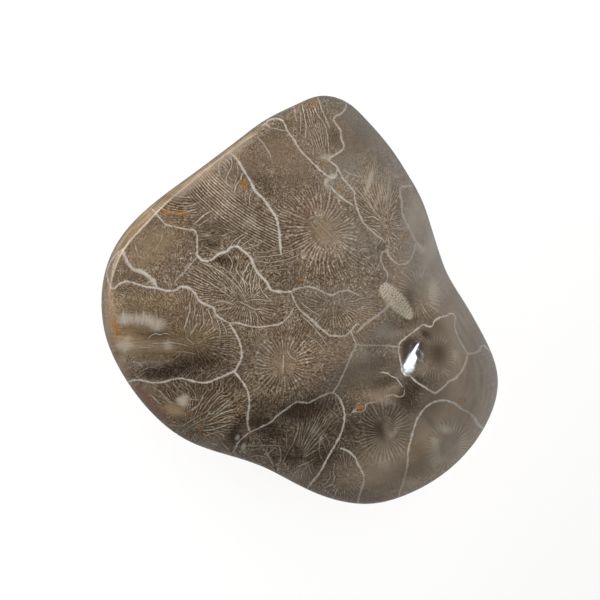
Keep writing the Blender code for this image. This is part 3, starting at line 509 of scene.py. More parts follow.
# Soft patches: centre u, v, half sizes, turn in degrees, amount.
PATCHES = {
    "ochre": (
        (463.6, 400, 1.3, 4.5, 3, 0.55), (471, 359, 1.6, 4.5, 0, 0.6),
        (176, 213, 11, 3.0, 6, 0.7),
        (244, 184, 4.6, 5.6, 30, 1.0), (165, 211, 5, 2.4, 25, 0.8), (183, 214.5, 6, 2.2, -10, 0.85), (240, 253, 2.5, 5, 0, 0.5),
        (242, 262, 3, 2.2, 0, 0.7), (187, 412, 2.0, 4.2, 10, 0.95), (200, 428, 2.4, 3.4, 0, 0.7), (201, 436, 2.4, 3.4, 0, 0.6),
        (232, 423, 3, 4.5, 20, 0.6), (296, 106, 5, 2.6, 15, 0.95), (313.5, 102, 4.6, 4.4, 0, 1.0), (332, 126, 3.5, 1.8, 0, 0.45),
        (340.5, 187.5, 3.6, 3.0, -40, 0.75), (300.6, 279.4, 5, 2.4, 8, 0.6), (406.3, 235, 3.0, 6.2, -32, 0.9), (114, 322, 3.0, 5.5, -12, 1.1),
        (117, 331.5, 3.6, 5.4, 0, 1.2), (111, 341, 2, 4, 0, 0.5), (111.3, 300, 1.2, 16, 3, 0.4), (360, 407, 4.6, 3.4, 0, 0.9),
        (416.5, 449, 4.5, 8, 38, 0.50), (362, 466, 2.5, 6, -15, 0.4), (475, 436, 2.5, 5, 30, 0.5), (470, 358, 2.2, 6, -10, 0.4), (463, 403, 1.8, 6, 0, 0.5), (479, 409, 5, 5, 0, 0.3),
        (401.4, 478.7, 2, 7, -10, 0.5), (392, 498, 18, 4, 4, 0.35), (474, 420, 6, 8, 0, 0.2), (330, 332, 4, 1.6, 0, 0.5),
        (277, 248, 1.6, 6, 0, 0.35), (271, 207, 2, 6, -30, 0.2),
    ),
    "pink": (
        (467, 378, 2, 12, 4, 0.7), (479, 352, 2, 10, -10, 0.5), (478, 408, 2, 7, 10, 0.7),
        (404, 194, 3, 5, 0, 1.2), (407, 204.6, 4, 3, 30, 1.2), (455, 320, 2.5, 6, 0, 0.75), (376, 395, 18, 4.5, -15, 0.5), (472, 337, 6, 9, -20, 0.4), (452, 300, 8, 6, 0, 0.35),
        (458, 304, 2, 9, -28, 0.5), (362, 405, 5, 3, 25, 0.4),
        (340, 129, 2, 4, 0, 0.45), (466, 385, 2, 18, 8, 0.3),
    ),
    # pale clouds of the stone; many of the patches on the right half also paint a lighter sheen there
    "white": (
        (430, 290, 3, 13, 0, 0.28),
        (485, 385, 10, 34, -6, 0.15), (410, 216, 8, 20, -10, 0.12),
        (386, 331, 18, 10, 0, 0.15), (405, 484, 14, 6, 0, 0.18),
        (455, 350, 4, 14, 0, 0.28), (448, 373, 8, 4, -30, 0.25), (476, 374, 2, 14, 0, 0.35), (421, 249.5, 3, 4, 0, 0.6),
        (431, 250, 6, 30, -21, 0.3), (437, 441, 4, 9, 10, 0.3), (461, 441, 4, 9, -10, 0.3), (449, 431, 9, 4, 0, 0.3), (449, 461, 9, 4, 0, 0.25),
        (474, 372, 2.5, 16, 4, 0.25), (462, 352, 2, 14, -14, 0.2), (306, 130, 3, 16, -14, 0.3),
        (412, 212, 8, 20, -10, 0.22), (410, 482, 12, 6, 0, 0.22), (437, 456, 9, 9, 0, 0.18),
        (369, 181, 2.5, 16, -17, 0.65), (378, 198, 2, 20, -17, 0.55), (388, 192, 1.8, 14, -8, 0.42), (184, 400, 6, 5, 0, 0.2),
        (412, 232, 10, 24, -10, 0.22), (385, 331, 10, 7, 0, 0.30), (362, 353, 9, 8, 0, 0.25),
        (372, 185, 4.5, 20, -20, 0.28), (386, 194, 4, 18, -12, 0.25), (430, 252, 8, 38, -20, 0.30), (366, 152, 22, 3, 32, 0.22), (403, 190, 2.4, 6, 0, 0.35),
        (406, 206, 2.4, 5, -10, 0.30), (331, 178, 7, 3, 40, 0.35), (327, 186, 2.6, 6, 0, 0.30), (343, 196, 8, 2.4, 40, 0.2), (282.5, 365, 1.6, 7, 4, 0.30),
        (210, 188, 10, 4, 40, 0.15),
        (412, 235, 12, 30, -8, 0.22), (385, 331, 12, 8, 0, 0.30), (362, 354, 10, 9, 0, 0.25), (410, 482, 12, 6, 0, 0.22), (435, 456, 10, 10, 0, 0.20),
        (392, 182, 10, 8, 0, 0.18), (408, 268, 10, 16, 0, 0.22), (340, 130, 6, 8, 0, 0.15), (455, 452, 6, 12, 30, 0.15), (112, 308, 6, 10, 0, 0.25),
        (184, 400, 6.5, 6.5, 30, 0.1), (237, 437, 2.2, 3, 0, 0.5), (243.5, 447, 2.6, 4, -20, 0.4), (388, 431, 5, 9, 10, 0.30),
        (436, 446, 3, 11, 8, 0.35), (449, 430, 9, 3.6, 0, 0.35), (462, 446, 3, 10, -8, 0.28), (440, 460, 6, 4.4, 20, 0.30), (228, 205, 36, 9, 40, 0.22),
        (140, 318, 20, 6, 4, 0.05),
        (449, 445, 6, 9, 0, 0.30), (432, 465, 4, 11, 40, 0.35), (434, 297, 7, 16, 0, 0.20), (436, 284, 6, 10, 8, 0.18), (405, 228, 16, 30, -8, 0.10),
        (384, 462, 12, 9, 0, 0.18), (180, 398, 6, 4, 30, 0.2),
        (434, 297, 6, 15, 0, 0.30), (272, 173, 2, 5, 0, 0.35), (242, 151, 5, 6, 30, 0.30), (387, 402, 18, 4, -8, 0.18), (394, 433, 3, 8, -30, 0.30),
        (435, 280, 3, 9, 10, 0.20), (326, 157, 5, 4, 0, 0.35), (477, 421, 4, 6, -30, 0.25),
        (434, 446, 5, 9, -10, 0.38), (441, 428, 7, 4, -30, 0.35), (454, 425, 7, 3.5, 10, 0.32), (467, 440, 4, 9, 12, 0.30), (435, 460, 5, 6, 30, 0.30),
        (385, 401, 14, 4, -12, 0.18), (398, 425, 4, 9, 10, 0.22), (364, 432, 3, 8, 0, 0.20), (370, 455, 5, 3, 0, 0.28), (384, 466, 6, 6, 0, 0.25),
        (401, 289, 3, 5, 30, 0.25), (420, 275, 7, 2.4, 0, 0.22), (433, 290, 4, 8, 10, 0.22), (424, 311, 5, 3, 20, 0.25), (444, 340, 5, 3, -10, 0.22),
        (455, 357, 3, 7, 0, 0.22), (441, 374, 6, 3, 20, 0.2), (462, 380, 1.6, 8, 5, 0.25),
        (124, 319, 9, 6.5, 0, 0.7), (143, 319, 12, 6.5, 3, 0.7), (158, 325, 9, 7, 10, 0.75), (126, 345, 6, 9, -15, 0.7), (150, 346, 26, 5, 0, 0.35),
        (168, 345, 5, 7, 0, 0.5), (118, 343, 3, 6, 0, 0.4), (184, 400, 5.5, 6.5, 30, 1.0), (176, 412, 9, 3.2, -15, 0.4),
        (139, 364, 6, 3, 15, 0.5), (157, 362.5, 12, 2.4, 0, 0.35), (159, 366, 5, 2, 0, 0.35), (270, 459, 2.4, 5, 20, 0.4),
        (333, 176, 5, 2.4, 0, 0.6), (326, 182, 2.5, 5, 0, 0.4), (237.6, 437, 1.8, 2.4, 0, 1.1), (243.5, 447, 2.2, 3.6, -20, 0.9),
        (216, 444.5, 3.5, 1.4, 25, 0.5), (327, 157, 9, 4, 0, 0.35), (418, 246, 3, 3.5, 0, 0.65), (423.5, 250, 2.5, 2.5, 0, 0.6),
        (207, 235, 6, 2.4, 0, 0.5), (193, 205, 5, 2, 25, 0.3), (226, 190, 8, 8, 40, 0.3), (249, 222, 12, 7, 30, 0.35),
        (215, 177, 9, 5, 40, 0.3), (225, 302, 9, 2.4, 5, 0.4), (258, 287, 2.6, 3.4, 0, 0.5), (242, 314, 4, 2.6, 0, 0.3),
        (345, 236, 3.6, 3, 0, 0.4), (364, 250, 5, 2.4, -10, 0.45), (368, 258, 3, 2.6, 0, 0.4), (304, 255, 3.4, 4.6, 20, 0.45),
        (314, 258, 2.6, 4.4, 0, 0.4), (303, 245, 3, 2.6, 0, 0.4), (316, 197, 2.6, 4.4, 0, 0.4), (299, 199, 3, 3, 0, 0.35),
        (305, 464, 8, 2, -20, 0.35), (314, 430, 8, 7, -35, 0.35), (321, 440, 2.4, 5, 0, 0.35), (286, 362, 2, 3, 0, 0.0),
        (124, 300, 4, 12, 12, 0.2), (281.5, 368, 1.8, 6, 5, 0.35), (391, 388, 12, 4, 15, 0.25), (155, 228, 2, 2, 0, 0.5),
        (154, 249, 2.6, 2, -30, 0.45), (146, 252, 2.4, 2, 0, 0.4), (161, 237, 2.2, 3, 0, 0.35), (151, 281, 2, 2, 0, 0.6),
        (410, 187, 4, 1.6, -8, 0.3), (394, 176, 3, 3, 0, 0.25), (191, 330, 3, 5, 25, 0.3), (187, 320, 2, 6, 10, 0.3),
    ),
    # darker patches: dark matrix of the stone, and painted shade on the steep slopes and valley sides of the relief
    "dark_and_shade": (
        (195, 285, 44, 26, 0, 0.06), (385, 256, 12, 10, 0, 0.12), (298, 192, 26, 20, 0, 0.07),
        (435, 330, 12, 12, 0, 0.13), (436, 385, 14, 10, 0, 0.15), (435, 412, 14, 14, 0, 0.15), (436, 356, 12, 12, 0, 0.12),
        (482, 378, 2, 12, 0, 0.35), (461, 384, 2, 14, 5, 0.3),
        (335, 207, 12, 10, 0, 0.18), (435, 318, 12, 16, 0, 0.18), (137, 306, 12, 8, 0, 0.18), (210, 430, 12, 8, 0, 0.15),
        (415, 355, 10, 14, 20, 0.2), (385, 290, 8, 8, 40, 0.3), (360, 255, 14, 12, 0, 0.2), (385, 430, 14, 12, 0, 0.2), (408, 430, 10, 14, 0, 0.25),
        (135, 380, 8, 6, 0, 0.2), (435, 345, 14, 12, 0, 0.2),
        (235, 205, 16, 8, 0, 0.18), (210, 258, 14, 6, 0, 0.2), (170, 312, 22, 10, 0, 0.2), (235, 305, 16, 12, 0, 0.2), (385, 287, 6, 8, 40, 0.3),
        (435, 328, 14, 8, 0, 0.3), (410, 352, 7, 12, 20, 0.3), (262, 253, 16, 8, 0, 0.2), (335, 228, 14, 18, 0, 0.18), (262, 404, 16, 8, 0, 0.2),
        (410, 378, 12, 6, 0, 0.3), (435, 402, 10, 10, 0, 0.25), (285, 282, 14, 8, 0, 0.2), (310, 430, 16, 10, 0, 0.2), (372, 382, 16, 8, 10, 0.2),
        (435, 318, 14, 10, 0, 0.20), (248, 180, 18, 12, 0, 0.25), (298, 232, 24, 20, 0, 0.20), (172, 252, 24, 18, 0, 0.20), (247, 356, 16, 14, 0, 0.20),
        (140, 310, 26, 8, 0, 0.25), (385, 432, 16, 14, 0, 0.20), (185, 412, 16, 14, 0, 0.20), (236, 434, 3, 4, 0, 0.3), (160, 326, 12, 8, 0, 0.25),
        (205, 360, 28, 9, 4, 0.35), (236, 430, 7, 10, 20, 0.3), (243, 442, 6, 5, 20, 0.5), (425, 334, 3, 3, 0, 0.35), (412, 348, 9, 13, 20, 0.3),
        (328, 408, 24, 5, 18, 0.35), (262, 428, 18, 5, -24, 0.45), (210, 232, 16, 12, 0, 0.15), (285, 258, 12, 12, 0, 0.18), (245, 382, 20, 10, 0, 0.22),
        (185, 418, 18, 14, 0, 0.18), (298, 404, 24, 10, 15, 0.20), (272, 456, 18, 8, 20, 0.22), (348, 456, 18, 12, 0, 0.18), (190, 345, 14, 14, 0, 0.12),
        (210, 235, 18, 12, -20, 0.30), (285, 258, 14, 16, 0, 0.20), (172, 342, 26, 18, 0, 0.25), (210, 358, 12, 10, 0, 0.20), (172, 395, 22, 22, 0, 0.22),
        (215, 385, 30, 14, 10, 0.22), (210, 415, 16, 16, 0, 0.22), (262, 403, 16, 8, 0, 0.2), (262, 183, 16, 8, -20, 0.25), (285, 183, 14, 8, 0, 0.2),
        (385, 405, 30, 12, 5, 0.42), (345, 425, 34, 18, 0, 0.22), (372, 384, 20, 8, 20, 0.20), (412, 378, 10, 10, 0, 0.25), (320, 460, 24, 14, 20, 0.2),
        (410, 350, 9, 14, 20, 0.3), (240, 232, 12, 12, 0, 0.2), (310, 480, 14, 6, 10, 0.2),
        (210, 230, 12, 10, 0, 0.30), (285, 280, 10, 10, 0, 0.25), (148, 330, 24, 11, 0, 0.25), (235, 380, 11, 11, 0, 0.36),
        (385, 382, 13, 9, 0, 0.36), (210, 405, 12, 12, 0, 0.30), (260, 405, 11, 10, 0, 0.25), (398, 408, 22, 9, 0, 0.30),
        (185, 430, 12, 9, 20, 0.30), (322, 430, 22, 11, 0, 0.22), (310, 455, 34, 10, 0, 0.24), (410.5, 297, 5, 19, -14, 0.50),
        (440, 354, 8, 12, 0, 0.42), (412, 348, 13, 16, 0, 0.40), (425, 418, 14, 18, 20, 0.30), (432, 424, 3, 12, 40, 0.3), (412, 403, 10, 8, 0, 0.40),
        (418, 450, 8, 14, 41, 0.30),
        (198, 388, 30, 14, 0, 0.18), (150, 335, 20, 7, 0, 0.22), (270, 420, 30, 16, -26, 0.12), (330, 440, 40, 30, 0, 0.14), (385, 386, 16, 8, 0, 0.22),
        (238, 424, 8, 10, 0, 0.15), (234, 440, 6, 7, 20, 0.5), (430, 345, 12, 16, 0, 0.15), (408, 386, 10, 10, 0, 0.3), (225, 262, 10, 5, 0, 0.3),
        (312, 448, 34, 26, -20, 0.30), (268, 426, 34, 12, -26, 0.25), (198, 392, 34, 18, 0, 0.16), (352, 414, 20, 20, 0, 0.25), (366, 126, 9, 20, -34, 0.25),
        (388, 156, 8, 22, -30, 0.25), (163, 374, 22, 5, 4, 0.35), (300, 407, 16, 6, 12, 0.35), (410, 388, 14, 7, 30, 0.3),
        (188, 364, 34, 9, 8, 0.55), (160, 372, 16, 5, 5, 0.75), (185, 372, 50, 8, 4, 0.35), (148, 372, 8, 5, 0, 0.3),
        (305, 408, 32, 10, 20, 0.75), (296, 412, 20, 7, -22, 0.35), (262, 424, 20, 7, -24, 0.6), (235, 432, 8, 9, 0, 0.35),
        (293, 452, 12, 12, 10, 0.45), (287, 458, 5, 7, 20, 0.4), (325, 462, 12, 18, 20, 0.4), (345, 440, 12, 16, 0, 0.3),
        (366, 430, 20, 14, 5, 0.35), (265, 440, 20, 12, 0, 0.3),
        (414, 390, 20, 8, 32, 0.75), (423, 332, 5, 4, 30, 0.45), (428, 336, 4.5, 4, -30, 0.45), (416, 346, 10, 8, 0, 0.4), (410, 360, 12, 14, 0, 0.3),
        (436, 356, 10, 12, 0, 0.3), (222, 260, 9, 4.5, -10, 0.8), (231, 266, 4, 5, 0, 0.3), (241, 264, 4, 5, 0, 0.35),
        (334, 134, 6, 9, 10, 0.55), (236, 434, 5, 8, 25, 0.6), (226, 442, 8, 5, 10, 0.6), (240, 420, 6, 8, 0, 0.2),
        (382, 364, 24, 8, 8, 0.55), (394, 376, 12, 8, 30, 0.4), (350, 374, 9, 12, 30, 0.25), (409, 322, 14, 6, 20, 0.55),
        (380, 430, 4, 10, 20, 0.35), (408, 296, 5, 10, 20, 0.3), (133, 276, 10, 6, -10, 0.3), (217, 222, 16, 6, -30, 0.3),
        (208, 244, 12, 7, 10, 0.35), (228, 404, 12, 16, 0, 0.1), (170, 392, 12, 8, -30, 0.25), (195, 388, 16, 6, 10, 0.35),
        (449, 446, 8, 12, 0, 0.10), (452, 296, 4, 12, -20, 0.25), (215, 345, 14, 5, 5, 0.2), (222, 176, 2.6, 5, -15, 0.5),
        (240, 198, 8, 5, 20, 0.35), (262, 222, 4, 8, 20, 0.3), (268, 238, 3, 5, 30, 0.4), (263, 244, 4, 4, 0, 0.35),
        (172, 199, 9, 4, -30, 0.35), (190, 220, 14, 3, -10, 0.25), (262, 187, 12, 10, -30, 0.2), (246, 158, 8, 10, 30, 0.3),
        (295, 247, 3, 2, 0, 0.8), (273, 458, 4, 6, 0, 0.5), (257, 450, 5, 2, 0, 0.4), (256, 453, 3, 1.6, 0, 0.4),
        (268, 441, 8, 3, 0, 0.4), (200, 432, 20, 5, 20, 0.2), (380, 247, 6, 4, 0, 0.4), (352, 215, 8, 5, 20, 0.2),
        (313, 468, 8, 8, 20, 0.3), (395, 182, 12, 2.5, 15, 0.3), (117, 353, 3, 4, -30, 0.6), (151, 365, 3, 1.6, 0, 0.7),
    ),
    "olive": (
        (150, 303, 36, 9, 0, 0.7), (200, 345, 20, 20, 0, 0.3),
        (150, 345, 24, 8, 0, 0.75), (140, 329, 14, 4, 0, 0.6), (180, 342, 18, 10, 0, 0.4), (205, 335, 16, 16, 0, 0.35), (173, 410, 9, 5, -15, 0.9), (410, 395, 18, 12, 20, 0.45),
        (418, 296, 12, 16, 0, 0.3), (436, 357, 20, 20, 0, 0.3), (425, 460, 22, 24, -20, 0.35), (290, 115, 8, 8, 0, 0.5), (330, 112, 8, 10, 0, 0.4),
        (474, 330, 8, 14, -30, 0.25), (207, 411, 6, 4, 30, 0.4), (185, 330, 12, 8, 0, 0.3),
    ),
    "honey": (
        (386, 290, 8.0, 7.0, 40, 0.9), (392, 296, 8.6, 9.0, 45, 1.0), (399, 303, 8.2, 9.0, 40, 1.0), (405, 310, 6.6, 7.6, 35, 1.0), (409.5, 316, 4.4, 4.4, 35, 0.8),
        (384, 286, 4, 3, 0, 0.5), (400, 321, 2.5, 4, 20, 0.4),
    ),
    # grey patches: partly greyer stone, partly a painted reflection veil on the slopes along the right side
    "grey_and_veil": (
        (385, 405, 14, 10, 0, 0.25), (440, 430, 22, 14, 0, 0.2), (360, 305, 14, 10, 0, 0.35), (385, 455, 14, 12, 0, 0.2),
        (430, 252, 10, 40, -20, 0.6), (330, 182, 12, 12, 0, 0.5), (412, 300, 20, 30, 0, 0.2), (350, 240, 16, 20, 0, 0.3), (440, 345, 16, 20, 0, 0.3),
        (445, 300, 30, 60, 10, 0.35), (430, 345, 20, 24, 0, 0.30), (440, 400, 46, 50, 0, 0.35), (400, 460, 46, 36, 0, 0.30), (340, 200, 26, 56, -15, 0.35),
        (385, 250, 26, 44, 0, 0.30), (360, 165, 20, 20, 0, 0.2),
        (436, 250, 20, 52, 14, 0.3), (452, 296, 22, 40, 20, 0.25), (482, 375, 18, 48, -6, 0.2), (366, 135, 34, 34, -40, 0.2), (400, 400, 70, 30, 15, 0.15),
        (365, 375, 34, 18, 12, 0.3), (445, 420, 46, 40, 0, 0.15), (385, 475, 50, 26, 8, 0.3), (295, 477, 50, 8, 24, 0.5),
        (400, 345, 22, 26, 0, 0.4), (350, 355, 24, 24, 0, 0.1), (322, 125, 12, 16, 0, 0.4), (349, 170, 14, 14, 0, 0.4),
        (108, 329, 5, 8, 0, 1.0), (340, 298, 34, 14, 0, 0.5), (365, 250, 24, 30, 0, 0.35), (375, 330, 30, 18, 0, 0.15),
        (205, 445, 26, 5, 20, 0.5), (185, 432, 14, 5, 35, 0.4), (226, 166, 5, 8, 10, 0.5), (412, 360, 12, 14, 0, 0.4),
        (262, 356, 8, 16, 0, 0.3), (260, 345, 8, 5, 0, 0.4),
    ),
    "warm": (
        (262, 428, 58, 30, 0, 0.40), (190, 388, 36, 30, 0, 0.35), (185, 292, 44, 24, 0, 0.28), (190, 340, 24, 22, 0, 0.25), (378, 148, 14, 16, 0, 0.4),
        (160, 312, 26, 16, 0, 0.35), (205, 415, 44, 26, 20, 0.4), (165, 340, 40, 20, 0, 0.3), (245, 415, 20, 20, 0, 0.3),
        (112, 320, 16, 34, 0, 0.7), (150, 240, 40, 26, 45, 0.5), (165, 205, 40, 14, -38, 0.35), (160, 330, 46, 16, 0, 0.5),
        (150, 400, 30, 30, 40, 0.35), (200, 420, 40, 20, -18, 0.5), (190, 360, 40, 10, 0, 0.4), (240, 250, 26, 20, 0, 0.2),
        (330, 230, 24, 20, 0, 0.3), (255, 150, 30, 20, -35, 0.35), (300, 108, 24, 12, -20, 0.4), (250, 310, 26, 18, 0, 0.15),
        (300, 400, 30, 10, 20, 0.25), (415, 470, 26, 26, 0, 0.3), (478, 400, 12, 44, -6, 0.35), (440, 345, 18, 24, 0, 0.3),
        (385, 320, 30, 20, 0, 0.4), (372, 190, 16, 30, 0, 0.3), (300, 370, 40, 40, 0, 0.2), (270, 330, 30, 10, 0, 0.2),
    ),
    # dark red-brown
    "maroon": (
        (210, 366, 28, 7, 6, 0.30), (205, 415, 40, 24, 20, 0.16), (255, 425, 20, 16, 0, 0.16), (310, 210, 10, 8, 0, 0.15),
        (138, 388, 4.6, 7, -36, 0.8), (143, 395, 5.2, 7, -38, 0.8), (148.5, 402, 5.2, 7, -40, 0.8), (154, 409, 5.2, 7, -42, 0.8), (160, 416, 4.6, 7, -45, 0.8), (167, 423, 4.0, 7, -48, 0.6), (129.5, 374, 2.4, 6, -28, 0.7),
        (307, 211, 5, 9, -20, 0.45), (284, 388, 14, 4, 0, 0.30), (262, 392, 5, 3, 0, 0.3), (117, 334, 2, 4, 0, 0.4),
    ),
    # less polished spots
    "matte": (
        (419.0, 355, 3.7, 7.6, 24, 1.0),
    ),
    # soft tan
    "tan": (
        (174, 409, 9, 4.8, -15, 0.6), (150, 303, 36, 9, 0, 0.25),
        (174, 410, 9, 4.6, -15, 1.0), (150, 345, 26, 6, 0, 0.35), (155, 245, 30, 15, 45, 0.45), (324, 232, 9, 12, -40, 0.45),
        (284, 364, 10, 10, 0, 0.40), (120, 364, 5, 10, -25, 0.55), (112, 306, 4, 18, 4, 0.6), (425, 462, 14, 12, 0, 0.2),
    ),
    # stronger net
    "bold": (
        (412, 388, 14, 14, 0, 0.8), (422, 350, 14, 20, 0, 0.5),
        (235, 432, 12, 14, 0, 0.9),
        (265, 445, 24, 14, 0, 0.9), (195, 420, 34, 20, -20, 0.7), (300, 445, 30, 26, 0, 0.6), (412, 400, 14, 10, 0, 1.0), (165, 305, 34, 12, 0, 0.2),
        (265, 190, 22, 40, -25, 0.5), (240, 262, 40, 30, 0, 0.6), (190, 370, 40, 9, 0, 0.8), (350, 430, 12, 24, 0, 0.6), (330, 265, 30, 20, 0, 0.4),
        (300, 395, 30, 12, 0, 0.5), (180, 215, 24, 14, 0, 0.8), (375, 250, 14, 20, 0, 0.5),
    ),
    # level streaks, and streaks that follow the rim, which paint reflections on the sides
    "band": (
        (140, 338, 30, 16, 0, 0.9), (112, 345, 8, 24, -10, 0.6), (165, 350, 26, 7, 4, 0.55), (122, 318, 12, 8, 0, 0.4), (150, 362, 18, 4, 2, 0.4),
    ),
    "rim": (
        (478, 385, 20, 44, -4, 0.9), (437, 250, 14, 60, 16, 0.7), (395, 165, 14, 44, -28, 0.6), (470, 325, 14, 26, -24, 0.8), (460, 355, 6, 30, -10, 0.3),
        (455, 455, 10, 40, 38, 0.5), (390, 492, 46, 9, 8, 0.5), (290, 484, 46, 8, 24, 0.5), (195, 448, 40, 8, 22, 0.6), (140, 395, 8, 34, -36, 0.5),
        (107, 300, 6, 50, 0, 0.6),
    ),
    # how far the fine net is calmed down: 0 shows it in full
    "calm": (
        (285, 165, 36, 30, 0, 0.25), (150, 245, 34, 24, 45, 0.20), (165, 245, 20, 20, 0, 0.15),
        (366, 135, 32, 34, -40, 0.75), (365, 375, 36, 20, 12, 0.6), (482, 380, 20, 50, -6, 0.65), (445, 250, 18, 60, 14, 0.8),
        (145, 335, 34, 22, 0, 0.85), (150, 366, 20, 6, 0, 0.35), (390, 395, 26, 8, 15, 0.6), (425, 430, 24, 30, 0, 0.35),
        (385, 480, 50, 20, 8, 0.3), (300, 482, 50, 8, 24, 0.3), (205, 449, 46, 7, 20, 0.6), (285, 165, 40, 34, 0, 0.30), (150, 245, 38, 26, 45, 0.25),
        (148, 400, 7, 22, -38, 0.8), (378, 330, 26, 14, 0, 0.45), (430, 330, 18, 16, 0, 0.35), (470, 330, 14, 30, -20, 0.7),
        (284, 364, 13, 13, 0, 0.55), (324, 231, 14, 12, -40, 0.5), (449, 448, 11, 14, 0, 0.4), (400, 270, 18, 20, 0, 0.35),
        (345, 110, 14, 12, 0, 0.3), (175, 407, 11, 8, -15, 0.9), (455, 400, 20, 12, 0, 0.5), (448, 355, 12, 26, 0, 0.45),
        (450, 320, 14, 12, 0, 0.6), (300, 415, 26, 9, 20, 0.4), (180, 420, 14, 8, 40, 0.5), (408, 215, 6, 30, 10, 0.5),
        (246, 165, 10, 12, 0, 0.5), (420, 200, 14, 60, 0, 0.5), (410, 356, 10, 16, 0, 0.4),
        (447, 430, 34, 42, 0, 0.9), (450, 358, 20, 34, 0, 0.7), (420, 290, 30, 26, 0, 0.6), (384, 470, 40, 30, 0, 0.55), (385, 432, 12, 16, 0, 0.7),
        (345, 350, 20, 20, 0, 0.35), (440, 330, 18, 12, 0, 0.4), (412, 348, 10, 18, 0, 0.3), (275, 148, 16, 12, 30, 0.35),
    ),
    # lighter patches: partly paler stone, partly painted sheen where the polished surface reflects bright surroundings,
    # mostly on the right half
    "light": (
        (385, 331, 18, 11, 0, 0.14), (361, 354, 15, 11, 0, 0.12),
        (412, 235, 15, 26, -8, 0.50), (406, 212, 10, 16, -10, 0.30), (412, 262, 14, 16, 0, 0.35), (392, 182, 12, 10, 0, 0.20), (384, 331, 14, 8, 0, 0.40),
        (434, 458, 12, 12, 0, 0.40), (361, 355, 12, 10, 0, 0.35), (410, 484, 14, 7, 0, 0.30), (332, 130, 12, 12, 0, 0.20), (118, 306, 9, 9, 0, 0.3),
        (335, 130, 12, 12, 0, 0.25), (410, 225, 14, 22, -8, 0.35), (388, 182, 16, 14, 0, 0.22), (410, 282, 20, 14, 0, 0.25), (385, 330, 16, 10, 0, 0.45),
        (362, 354, 12, 10, 0, 0.35), (435, 455, 12, 14, 0, 0.40), (470, 405, 18, 30, 0, 0.22), (410, 485, 16, 8, 0, 0.25), (135, 232, 8, 8, 0, 0.2),
        (362, 481, 14, 8, 0, 0.2), (440, 282, 12, 16, 0, 0.2),
        (235, 155, 13, 11, -35, 0.35), (210, 180, 14, 11, -36, 0.40), (360, 190, 26, 16, 0, 0.40), (325, 205, 24, 12, 0, 0.30),
        (398, 205, 20, 20, 0, 0.42), (402, 232, 20, 16, 0, 0.50), (330, 252, 20, 10, 0, 0.38), (412, 258, 16, 14, 0, 0.42),
        (345, 280, 22, 10, 0, 0.25), (424, 280, 18, 12, 0, 0.45), (365, 305, 16, 10, 0, 0.30), (405, 303, 18, 11, 0, 0.40),
        (210, 330, 10, 10, 0, 0.25), (383, 330, 14, 12, 0, 0.55), (310, 360, 30, 14, 0, 0.30), (360, 352, 13, 13, 0, 0.40),
        (460, 362, 12, 20, 0, 0.34), (310, 382, 13, 8, 0, 0.32), (462, 395, 12, 20, 0, 0.36), (485, 405, 8, 14, 0, 0.30),
        (460, 430, 12, 14, 0, 0.25), (398, 457, 22, 12, 0, 0.28), (437, 455, 13, 14, 0, 0.40), (385, 482, 26, 12, 0, 0.34), (412, 480, 12, 12, 0, 0.30),
        (225, 200, 30, 12, 42, 0.30), (240, 151, 6, 7, 0, 0.40),
        (232, 205, 34, 10, 38, 0.30), (415, 230, 26, 46, -6, 0.45), (375, 180, 30, 26, -20, 0.22), (450, 300, 30, 26, 20, 0.40), (478, 385, 14, 50, -4, 0.40),
        (365, 322, 26, 22, 0, 0.22), (385, 352, 22, 8, 0, 0.45), (345, 352, 16, 14, 0, 0.15), (322, 225, 44, 30, 0, 0.15), (310, 150, 26, 30, 0, 0.14),
        (450, 455, 26, 26, 0, 0.30), (400, 490, 40, 10, 0, 0.25), (305, 256, 22, 12, 0, 0.25),
        (385, 318, 34, 20, 0, 0.38), (348, 355, 32, 17, -20, 0.42), (310, 366, 20, 24, 0, 0.42), (322, 238, 40, 36, 0, 0.20), (362, 284, 30, 12, 0, 0.28),
        (402, 272, 26, 34, 0, 0.25), (450, 452, 30, 34, 40, 0.75), (440, 420, 26, 16, 0, 0.25), (392, 486, 50, 15, 4, 0.55), (236, 158, 14, 11, -35, 0.45),
        (208, 178, 24, 8, -38, 0.45), (296, 150, 34, 22, 40, 0.18), (130, 252, 10, 16, 20, 0.25), (130, 356, 9, 13, -20, 0.3), (384, 400, 16, 7, -10, 0.5),
        (126, 343, 9, 11, 0, 0.35), (330, 492, 24, 7, 8, 0.3), (400, 215, 16, 34, -8, 0.18), (285, 480, 44, 5, 24, 0.55), (205, 448, 34, 5, 22, 0.35),
        (382, 175, 14, 34, -8, 0.5), (324, 231, 34, 30, -40, 0.25), (284, 364, 30, 26, 0, 0.25), (250, 300, 34, 22, -30, 0.2), (212, 182, 24, 14, -36, 0.35),
        (150, 250, 36, 26, 50, 0.15), (400, 250, 30, 40, 0, 0.3), (330, 165, 12, 12, 0, 0.3), (200, 300, 30, 14, -20, 0.12),
        (370, 325, 26, 16, 20, 0.25), (312, 130, 12, 30, 10, 0.2), (395, 200, 18, 50, -8, 0.3), (385, 392, 22, 8, 15, 0.35),
        (437, 255, 14, 60, 14, 0.3), (350, 480, 20, 14, 0, 0.15), (428, 470, 14, 14, 0, 0.15), (420, 285, 18, 20, 0, 0.35),
        (345, 245, 20, 20, 0, 0.25), (112, 310, 10, 22, 0, 0.35), (460, 355, 12, 34, -10, 0.3), (455, 320, 14, 12, 0, 0.3),
        (225, 175, 14, 8, -36, 0.3), (360, 180, 20, 12, 0, 0.15), (150, 345, 20, 7, 0, 0.3),
    ),
}


